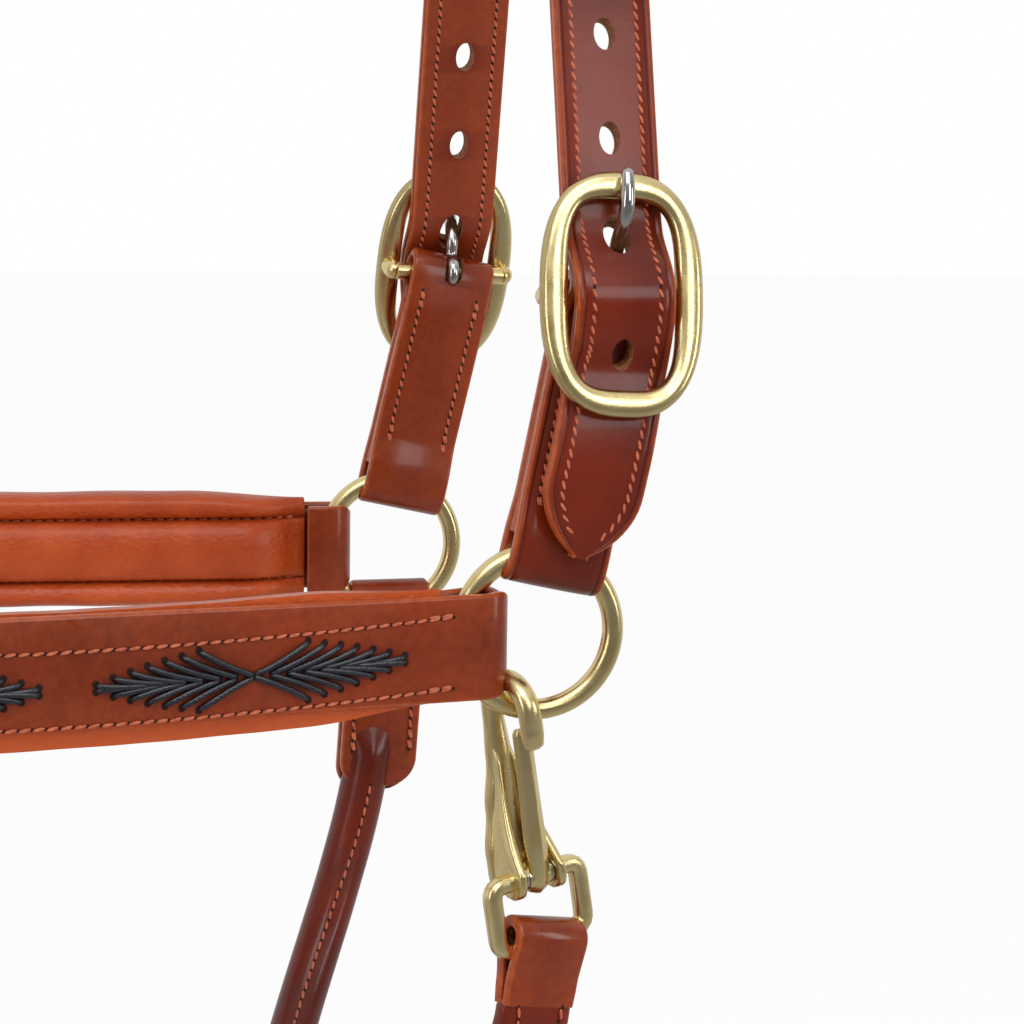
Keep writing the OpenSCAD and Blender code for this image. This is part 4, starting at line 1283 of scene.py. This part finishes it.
# share of the way along: half width, half thickness, squareness, ridge at the back, trough in front
spineStops = [(0.0, 2.5, 0.9, 2.6, 0, 0), (0.05, 2.9, 1.7, 2.6, 0, 0), (0.14, 2.75, 2.5, 2.2, 0, 0),
              (0.44, 2.6, 2.6, 2.0, 0.0, 0), (0.58, 3.3, 2.7, 2.3, 0.3, 1.4),
              (0.74, 5.1, 2.7, 3.0, 0.4, 2.9), (0.88, 7.0, 2.6, 4.0, 0.4, 2.6),
              (0.96, 7.4, 2.4, 4.6, 0.2, 1.6), (1.0, 7.0, 1.8, 4.0, 0.0, 0.8)]
flankLook = {"shoulder": 9, "root": 1.5, "rootDeep": 1.7, "behind": 1.6, "apart": 1.4,
             "thin": 1.2, "steps": 54}


def buildSnapBody():
    look = snapLook
    reach, drop = look["reach"], look["drop"]
    line = [(-reach, -drop - 8), (-reach, -drop)]
    line += [(-reach * math.cos(t), -drop + reach * math.sin(t)) for t in angles(16, math.pi, 1)]
    line += [(reach, -14), (reach + 0.5, -24), (reach + 0.3, -34), (reach - 0.6, -42), (reach - 2.2, -46.4)]
    route = Route([snapAt(0, y, z) for y, z in line], 8)
    across = snapWay(1, 0, 0)
    bm = bmesh.new()
    stands, sections = [], []
    count = 110
    for i in range(count + 1):
        t = i / count
        u = route.length * t
        forward = route.heading(u)
        out = across.cross(forward).normalized()
        stands.append((route.place(u), across, out, forward))
        wide, thick, power, ridge, trough = mixed(spineStops, t)
        end = 0.55 if i in (0, count) else 1.0
        section = []
        for k in range(40):
            w = 2 * math.pi * k / 40
            a, n = roundedPoint(wide * end, thick * end, power, w)
            inner = max(0.0, 1 - (a / max(wide * 0.8, 0.1)) ** 2)
            rough = noise.noise(stands[-1][0] * 900 + across * a * 0.8) * min(1.0, trough) * inner
            n += -ridge * inner if n < 0 else (0.35 * rough - trough) * inner
            # the edge mark at the spine's two sides sets where shade is painted on the brass
            rim = max(0.0, abs(a) / max(wide, 0.1) - 0.8) * 2
            section.append((a, n, min(1.0, rim), 1.0 if (n > -2 and trough > 1.2 and inner > 0.1) else 0.0))
        sections.append(section)
    faces = sweep(bm, stands, sections)
    creaseLayer = bm.verts.layers.float["crease"]
    for face in faces:  # the trough is left rough from the casting
        if face.is_valid and all(v[creaseLayer] > 0.5 for v in face.verts):
            face.material_index = 1
    # two flanks grow forward from the spine into the ears that hold the eye's upper bar
    foot, ear, shoulder = look["length"], look["ear"], flankLook["shoulder"]
    for side in (-1, 1):
        stands, sections = [], []
        steps = flankLook["steps"]
        for i in range(steps + 1):
            t = i / steps
            depth = shoulder + (foot + ear - 0.04 - shoulder) * t
            grow = min(1.0, (depth - shoulder) / (foot - 2 - shoulder)) ** 2.2
            root = reach - flankLook["root"] - flankLook["rootDeep"] * eased((depth - shoulder) / 6)
            below = max(0.0, depth - foot)
            round_ = math.sqrt(max(ear ** 2 - (depth - foot) ** 2, 0.02)) if depth > foot - ear else ear
            front = root - (root + ear) * grow if depth < foot - 1 else -round_
            rear = (reach + flankLook["behind"]) * (1 - eased(below / ear)) + round_ * eased(below / ear)
            flare = min(1.0, (depth - shoulder) / (foot - shoulder)) ** 1.3
            inside = flankLook["apart"] + (look["earIn"] - flankLook["apart"]) * flare
            thick = flankLook["thin"] + (look["earThick"] - flankLook["thin"]) * eased((depth - 16) / 22)
            outside = inside + thick
            middleY, halfY = (front + rear) / 2, max((rear - front) / 2, 0.3)
            middleX, halfX = side * (inside + outside) / 2, (outside - inside) / 2
            if i in (0, steps):
                halfY, halfX = halfY * 0.9, halfX * 0.6
            stands.append((snapAt(middleX, middleY, -depth), snapWay(0, 1, 0), across, snapWay(0, 0, -1)))
            section = []
            for k in range(24):
                a, n = roundedPoint(halfY, halfX, 3.4, 2 * math.pi * k / 24)
                # the edge mark on the flanks' sides is painted shade, fading towards the ears
                section.append((a, n, 0.5 * max(0, abs(n) / halfX - 0.8) * (1 - t), 0))
            sections.append(section)
        sweep(bm, stands, sections)
    finishPiece("snapBody", bm, [satinBrass, castBrass], "snap", ["snap_body"])


def buildSnapParts():
    look = snapLook
    across = snapWay(1, 0, 0)
    # gate: a ridged bar, wider towards its foot, which laps round the eye's upper bar
    foot, top, barrel = -look["length"], -look["drop"] - 3.4, look["gateBarrel"]
    lean = math.atan2(look["reach"] - look["hook"] - 1.5, top - foot)
    line = [(-barrel * math.cos(t) + 1.1, foot - barrel * math.sin(t)) for t in
            [math.radians(75 - 15 * k) for k in range(5)]]
    line += [(-2.35 - math.tan(lean) * 7, foot + 7), (-1.5 - math.tan(lean) * 16, foot + 16),
             (-math.tan(lean) * (top - foot), top)]
    route = Route([snapAt(0, y, z) for y, z in line], 14)
    bm = bmesh.new()
    stands, sections = [], []
    count = 40
    for k in range(count + 1):
        t = k / count
        forward = route.heading(route.length * t)
        stands.append((route.place(route.length * t), across, across.cross(forward).normalized(), forward))
        atEnd = k in (0, count)
        wide = (look["gateFoot"] + (look["gate"] - look["gateFoot"]) * eased(t * 1.1)) / 2
        wide *= 0.8 if atEnd else 1.0
        thick = 1.15 * (0.7 if atEnd else 1.0)
        ridge = 1.15 * math.sin(math.pi * min(1, 0.12 + t * 0.9)) ** 0.6
        # the edge values on the gate's underside and sides are painted shade
        sections.append([(-wide, -thick, 0.5, 0), (0, -thick, 0.1, 0), (wide, -thick, 0.5, 0),
                         (wide, thick - 0.9, 0.7, 0), (wide - 0.5, thick - 0.3, 0.3, 0),
                         (0.35, thick + ridge * 0.85, 0, 0), (0, thick + ridge, 0, 0),
                         (-0.35, thick + ridge * 0.85, 0, 0), (-wide + 0.5, thick - 0.3, 0.3, 0),
                         (-wide, thick - 0.9, 0.7, 0)])
    sweep(bm, stands, sections)
    half = look["gateFoot"] / 2
    tube(bm, [snapAt(x * half, 0, foot) for x in (-1, -0.5, 0, 0.5, 1)], barrel * mm, 24, 0.93)
    finishPiece("snapGate", bm, [satinBrass], "gate", ["snap_gate"])
    # springs: a few turns of fine wire on each side of the gate
    for side, name in ((-1, "left"), (1, "right")):
        bm = bmesh.new()
        coil = []
        for k in range(49):
            w = 2 * math.pi * k / 16
            coil.append(snapAt(side * (half + 0.2 + 0.55 * k / 48), look["coil"] * math.cos(w),
                               foot + look["coil"] * math.sin(w)))
        tube(bm, coil, 0.3 * mm, 7)
        finishPiece(name + "SpringCoil", bm, [brightSteel], "snap",
                    ["snap_spring"] if side < 0 else ())
    # eye: a rectangular link of rounded-square wire
    bm = bmesh.new()
    stands, sections = [], []
    half, top, low = look["eyeWide"] / 2, -look["length"], -look["eyeDrop"]
    mid = (top + low) / 2
    corners = []
    for cx, cz, start in ((half, top, 0), (-half, top, 90), (-half, low, 180), (half, low, 270)):
        bend = look["eyeBend"]
        cx -= math.copysign(bend, cx)
        cz -= math.copysign(bend, cz - mid)
        corners += [(cx + bend * math.cos(w), cz + bend * math.sin(w))
                    for w in [math.radians(start + 15 * k) for k in range(7)]]
    route = Route([snapAt(x, 0, z) for x, z in corners], 4, closed=True)
    normal = snapWay(0, 1, 0)
    for i in range(80):
        u = route.length * i / 80
        forward = route.heading(u)
        stands.append((route.place(u), forward.cross(normal).normalized(), normal, forward))
        section = []
        for k in range(20):
            a, n = roundedPoint(look["eye"], look["eye"], 2.7, 2 * math.pi * k / 20)
            # the edge mark on the eye wire's sides is painted shade
            section.append((a, n, 0.3 * max(0, abs(n) / look["eye"] - 0.8), 0))
        sections.append(section)
    sweep(bm, stands, sections, closed=True)
    finishPiece("snapEye", bm, [satinBrass], "eye", ["snap_eye"])


buildSnapBody()
buildSnapParts()
print("snap made")

# ---- throat strap: leather rolled round a cord, a flat tab at one end and a loop at the other
rollLook = {"radius": 6.6, "tabEnd": 71, "sway": 50, "tabHalf": 11.25, "tabFold": 10.2, "endHalf": 10,
            "start": 46, "forward": 3.5, "endLean": 19, "leaf": 2.9, "tabRun": 54, "tabRow": 8.4, "core": 3.2,
            "flat": (12, 20), "flatSize": (2.9, 4.0), "farFlat": (7.6, 2.6, 3.0),
            "seam": {"pitch": 3.3, "length": 2.7, "slant": 8, "thread": 0.42},
            "stitch": {"pitch": 3.0, "length": 2.7, "slant": 14, "thread": 0.42}}
farStart = at(-5.0, sizes["ringSpan"], -rollLook["start"])
endLean = math.radians(rollLook["endLean"])
nearWay = snapWay(-math.sin(endLean), 0, -math.cos(endLean))
nearBar = snapAt(0, 0, -snapLook["eyeDrop"])
nearStart = nearBar + nearWay * 15 * mm
lowest = at(throatLow.x, 0, throatLow.z)
sway = Vector((0, rollLook["sway"] * mm, 0))


def bent(points, t):
    a, b, c, d = points
    return a * (1 - t) ** 3 + b * 3 * t * (1 - t) ** 2 + c * 3 * t * t * (1 - t) + d * t ** 3


farBend = [farStart - Vector((0.5 * mm, 0, 14 * mm)), farStart - Vector((6.5 * mm, 0, 60 * mm)),
           lowest + sway, lowest]
nearBend = [nearStart + nearWay * 3 * mm, nearStart + nearWay * 30 * mm, lowest - sway, lowest]
rollPoints = [farStart] + [bent(farBend, k / 40) for k in range(41)]
rollPoints += [bent(nearBend, k / 40) for k in range(39, -1, -1)] + [nearStart]
rollRoute = Route(rollPoints, 8)
rollCentre = at(0, 0, -40)


def rollOut(u):
    # away from the head, turning to the snap's own outward side near its end
    away = rollRoute.place(u) - rollCentre
    away.x = 0
    share = min(1.0, max(0.0, (rollRoute.length - u) / (60 * mm)))
    farShare = min(1.0, max(0.0, u / (60 * mm)))
    nearOut = snapWay(0, -1, 0)
    out = away.normalized() * share + nearOut * (1 - share)
    out = out.normalized() * farShare + Vector((0, 1, 0)) * (1 - farShare)
    return out.normalized()


def flatShare(fromEnd):
    # 1 at the near end, where the leather lies flat, 0 where it is rolled up
    start, reach = rollLook["flat"]
    return 1 - eased((fromEnd - start) / reach)


def buildRoll():
    look = rollLook
    radius = look["radius"]
    stands, sections = [], []
    runs = spread(0, rollRoute.length, 1.5 * mm)
    for i, u in enumerate(runs):
        stand = rollRoute.stand(u, rollOut)
        stands.append(stand)
        flatNear = flatShare((rollRoute.length - u) / mm)
        flatFar = 1 - eased((u / mm - 2) / 15)
        section = []
        for k in range(40):
            w = 2 * math.pi * k / 40
            a, n = radius * math.cos(w), radius * math.sin(w)
            wobble = 0.10 * noise.noise(stand[0] * 60 + Vector((a, n, 0)) * 0.1)
            seam = math.exp(-((w - 1.5 * math.pi) / 0.20) ** 2)
            groove = math.exp(-((w - 1.5 * math.pi - 0.36) / 0.05) ** 2)
            grow = 1 + wobble / radius + 0.055 * seam - 0.03 * groove
            a, n = a * grow, n * grow
            flatA, flatN = roundedPoint(look["endHalf"], *look["flatSize"], w)
            a, n = a + (flatA - a) * flatNear, n + (flatN - n) * flatNear
            flatA, flatN = roundedPoint(*look["farFlat"], w)
            a, n = a + (flatA - a) * flatFar, n + (flatN - n) * flatFar
            # the groove beside the seam takes the crease mark: painted shade in the groove
            section.append((a, n, 0.25 * groove, groove))
        if i in (0, len(runs) - 1):
            section = [(a * 0.94, n * 0.9, 0.6, 0) for a, n, e, c in section]
        sections.append(section)
    bm = bmesh.new()
    sweep(bm, stands, sections, runs=runs)
    finishPiece("throatRollCover", bm, [tanLeather], "throat", ["throat_roll_cover"])
    # the cord inside, and the seam at the back
    bm = bmesh.new()
    core = [rollRoute.place(rollRoute.length * k / 60) for k in range(1, 60)]
    tube(bm, core, look["core"] * mm, 14)
    finishPiece("throatRollCore", bm, [twistedCore], "throat", ["throat_roll_core"])
    bm = stitchBody()

    def seamAt(u, a):
        centre, across, out, forward = rollRoute.stand(u, rollOut)
        turned = Matrix.Rotation(a, 3, forward) @ -out
        return centre + turned * (radius * 1.045 + 0.12) * mm, forward.cross(turned), turned, forward

    stitchRow(bm, seamAt, 24 * mm, rollRoute.length - 34 * mm, -0.1, look["seam"], (False, False))
    for sign in (1, -1):
        def nearFace(u, a, sign=sign):
            # two rows that close on each other as the flat strap turns into the roll
            centre, across, out, forward = rollRoute.stand(rollRoute.length - u, rollOut)
            flat = flatShare(u / mm)
            n = (radius + (look["flatSize"][0] - radius) * flat + 0.16) * mm
            spot = centre + across * a * (1 - 0.75 * u / (30 * mm)) + out * sign * n
            return spot, across, out * sign, forward
        for a in (-6.6, 6.6):
            stitchRow(bm, nearFace, 1 * mm, 26 * mm, a * mm, look["stitch"], (False, True))
    finishThread("throatSeam", bm, "throat")


buildRoll()


def buildThroatEnds():
    look = rollLook
    # far tab: folded round the ring, both leaves closed on the roll
    across = Vector((1, 0, 0))
    half = chapeLook["foldRadius"]
    low = look["tabFold"] + 1.5 + half
    line = [(-2.3, look["tabEnd"]), (-2.4, 46), (-half, 29), (-half, low)]
    line += [(-half * math.cos(t), low - half * math.sin(t)) for t in angles(14, math.pi, 1)]
    line += [(half, 29), (2.6, 46), (2.5, look["tabEnd"] + 2)]
    route = Route([at(-look["forward"] * max(0.0, w - 12) / look["tabRun"], sizes["ringSpan"] + v, -w)
                   for v, w in line], 6)
    runs = spread(0, route.length, 1.2 * mm)
    runs = [runs[0], 0.3 * mm] + runs[1:-1] + [route.length - 0.3 * mm, runs[-1]]

    def tabSection(u, centre):
        wide = look["tabHalf"] - cornerInset(2.5, (ringMid.z - centre.z) / mm - look["tabFold"])
        wide -= cornerInset(8.0, min(u, route.length - u) / mm, 0.09)
        return strapSection(-wide, wide, look["leaf"], 0.8, True, 0.2)

    bm = layStrap(route, runs, across, lambda forward: forward.cross(across).normalized(), tabSection,
                  blunt=(0.9, 0.7))
    finishPiece("throatFarTab", bm, [tanLeather], "throat", ["throat_far_tab"])

    def tabFace(u, a, sign):
        w = u / mm
        lift = half + (2.5 - half) * min(1.0, max(0.0, w - 29) / 17)
        x = -look["forward"] * (w - 12) / look["tabRun"]
        centre = at(x, sizes["ringSpan"] + sign * (lift + 1.7), -w) + across * a
        return centre, across, Vector((0, sign, 0)), Vector((0, 0, -1))

    sewBoth("throatTabStitching", "throat", tabFace, look["tabRow"], 30 * mm, 60 * mm, look["stitch"])
    # near end: a leaf folded over the eye's lower bar
    loop = snapLook["eye"] + 0.25 + 1.5
    line = [(-1.6, -16), (-2.0, -9), (-loop, 0)]
    line += [(-loop * math.cos(t), loop * math.sin(t)) for t in angles(14, math.pi, 1)]
    line += [(2.0, -9), (1.6, -16)]
    thickness = snapWay(0, 1, 0)
    route = Route([nearBar + thickness * y * mm - nearWay * z * mm for y, z in line], 5)
    across = thickness.cross(nearWay).normalized()

    def endSection(u, centre):
        wide = look["endHalf"] - 0.25 * max(0.0, 1 - min(u, route.length - u) / mm / 4)
        return strapSection(-wide, wide, look["leaf"], 0.8, True, 0.2)

    bm = layStrap(route, spread(0, route.length, 1.0 * mm), across,
                  lambda forward: across.cross(forward).normalized(), endSection)
    finishPiece("throatNearEnd", bm, [foldLeather], "throat", ["throat_near_end"])


buildThroatEnds()
print("throat strap made")


# ---- floor, light and camera
def makeFloor(look):
    bm = bmesh.new()
    bmesh.ops.create_grid(bm, x_segments=2, y_segments=2, size=look["half"])
    mesh = bpy.data.meshes.new("paleFloor")
    bm.to_mesh(mesh)
    bm.free()
    floor = bpy.data.objects.new("paleFloor", mesh)
    bpy.context.scene.collection.objects.link(floor)
    floor.location = (0, 0, cadBox[0][2] - look["below"])
    material = bpy.data.materials.new("paleFloor")
    material.use_nodes = True
    tree = material.node_tree
    shader = tree.nodes["Principled BSDF"]
    shader.inputs["Base Color"].default_value = (0.9, 0.9, 0.9, 1)
    shader.inputs["Roughness"].default_value = 0.9
    shader.inputs["Specular IOR Level"].default_value = 0.1
    # seen white by the camera; shiny pieces see it white behind them and dim in front
    rays = addNode(tree, "ShaderNodeLightPath")
    mirrored = mathNode(tree, "MAXIMUM", rays.outputs["Is Glossy Ray"], rays.outputs["Is Transmission Ray"])
    seen = mathNode(tree, "MULTIPLY", rays.outputs["Is Camera Ray"], look["glow"])
    share = mathNode(tree, "MAXIMUM", seen, mirrored)
    place = addNode(tree, "ShaderNodeTexCoord").outputs["Object"]
    depth = addNode(tree, "ShaderNodeSeparateXYZ", {0: place}).outputs["Y"]
    room = ranged(tree, depth, -0.5, 0.6, look["front"], look["behind"])
    level = addNode(tree, "ShaderNodeMix", {0: mirrored, 2: 1.0, 3: room}).outputs[0]
    white = addNode(tree, "ShaderNodeEmission", {"Strength": level})
    mixed = addNode(tree, "ShaderNodeMixShader", {0: share, 1: shader.outputs[0], 2: white.outputs[0]})
    tree.links.new(mixed.outputs[0], tree.nodes["Material Output"].inputs["Surface"])
    mesh.materials.append(material)


def makeWorld(look):
    world = bpy.data.worlds.new("paleRoom")
    bpy.context.scene.world = world
    world.use_nodes = True
    tree = world.node_tree
    tree.nodes.clear()
    rays = addNode(tree, "ShaderNodeLightPath")
    # shiny pieces see the white room behind and above them, and a dark room in front
    way = addNode(tree, "ShaderNodeTexCoord").outputs["Generated"]
    parts = addNode(tree, "ShaderNodeSeparateXYZ", {0: way})
    behind = ranged(tree, parts.outputs["Y"], -0.3, 0.25, look["front"], look["behind"])
    above = ranged(tree, parts.outputs["Z"], 0.15, 0.75, 0.0, look["ceiling"])
    room = mathNode(tree, "MAXIMUM", behind, above)
    mirrored = mathNode(tree, "MAXIMUM", rays.outputs["Is Glossy Ray"], rays.outputs["Is Transmission Ray"])
    lit = addNode(tree, "ShaderNodeMix", {0: mirrored, 2: look["ambient"], 3: room}).outputs[0]
    level = addNode(tree, "ShaderNodeMix", {0: rays.outputs["Is Camera Ray"], 2: lit, 3: 1.0}).outputs[0]
    glow = addNode(tree, "ShaderNodeBackground", {"Color": (1, 1, 1, 1), "Strength": level})
    tree.links.new(glow.outputs[0], addNode(tree, "ShaderNodeOutputWorld").inputs["Surface"])


def makeLamp(name, spot, aim, width, height, power):
    lamp = bpy.data.lights.new(name, "AREA")
    lamp.shape = "RECTANGLE"
    lamp.size = width
    lamp.size_y = height
    lamp.energy = power
    thing = bpy.data.objects.new(name, lamp)
    bpy.context.scene.collection.objects.link(thing)
    thing.location = spot
    thing.rotation_euler = (Vector(aim) - Vector(spot)).to_track_quat("-Z", "Y").to_euler()


makeFloor({"half": 6.0, "below": 0.0015, "glow": 0.95, "front": 0.2, "behind": 0.75})
makeWorld({"ambient": 0.5, "front": 0.16, "behind": 0.75, "ceiling": 0.7})
lampAim = (-0.03, 0, -0.2)
makeLamp("topSoftbox", (-0.2, -0.65, 0.55), lampAim, 0.8, 0.45, 3.1)
makeLamp("frontSoftbox", (0.28, -1.0, 0.21), (0, -0.08, -0.1), 0.34, 0.4, 1.5)
makeLamp("leftSoftbox", (-0.95, -0.6, 0.0), lampAim, 0.26, 0.6, 1.4)
makeLamp("rightStrip", (0.8, -0.58, -0.05), lampAim, 0.17, 0.42, 1.1)

# The camera looks from the near side, a little from the front and above
viewLook = {"azimuth": -16.21, "elevation": 7.35, "roll": -0.82, "distance": 0.7095, "lens": 94.5,
            "target": (-0.00198, 0.0, -0.20749)}
turn = math.radians(viewLook["azimuth"])
rise = math.radians(viewLook["elevation"])
back = Vector((math.sin(turn) * math.cos(rise), -math.cos(turn) * math.cos(rise), math.sin(rise)))
sideways = Vector((math.cos(turn), math.sin(turn), 0))
upward = back.cross(sideways)
roll = math.radians(viewLook["roll"])
right = sideways * math.cos(roll) - upward * math.sin(roll)
top = upward * math.cos(roll) + sideways * math.sin(roll)
camera = bpy.data.objects.new("viewCamera", bpy.data.cameras.new("viewCamera"))
bpy.context.scene.collection.objects.link(camera)
camera.data.lens = viewLook["lens"]
camera.data.sensor_width = 36
camera.data.clip_start = 0.01
camera.matrix_world = Matrix.Translation(Vector(viewLook["target"]) + back * viewLook["distance"]) @ \
    Matrix((right, top, back)).transposed().to_4x4()
bpy.context.scene.camera = camera
bpy.context.scene.view_settings.view_transform = "Standard"
print("floor, light and camera set")
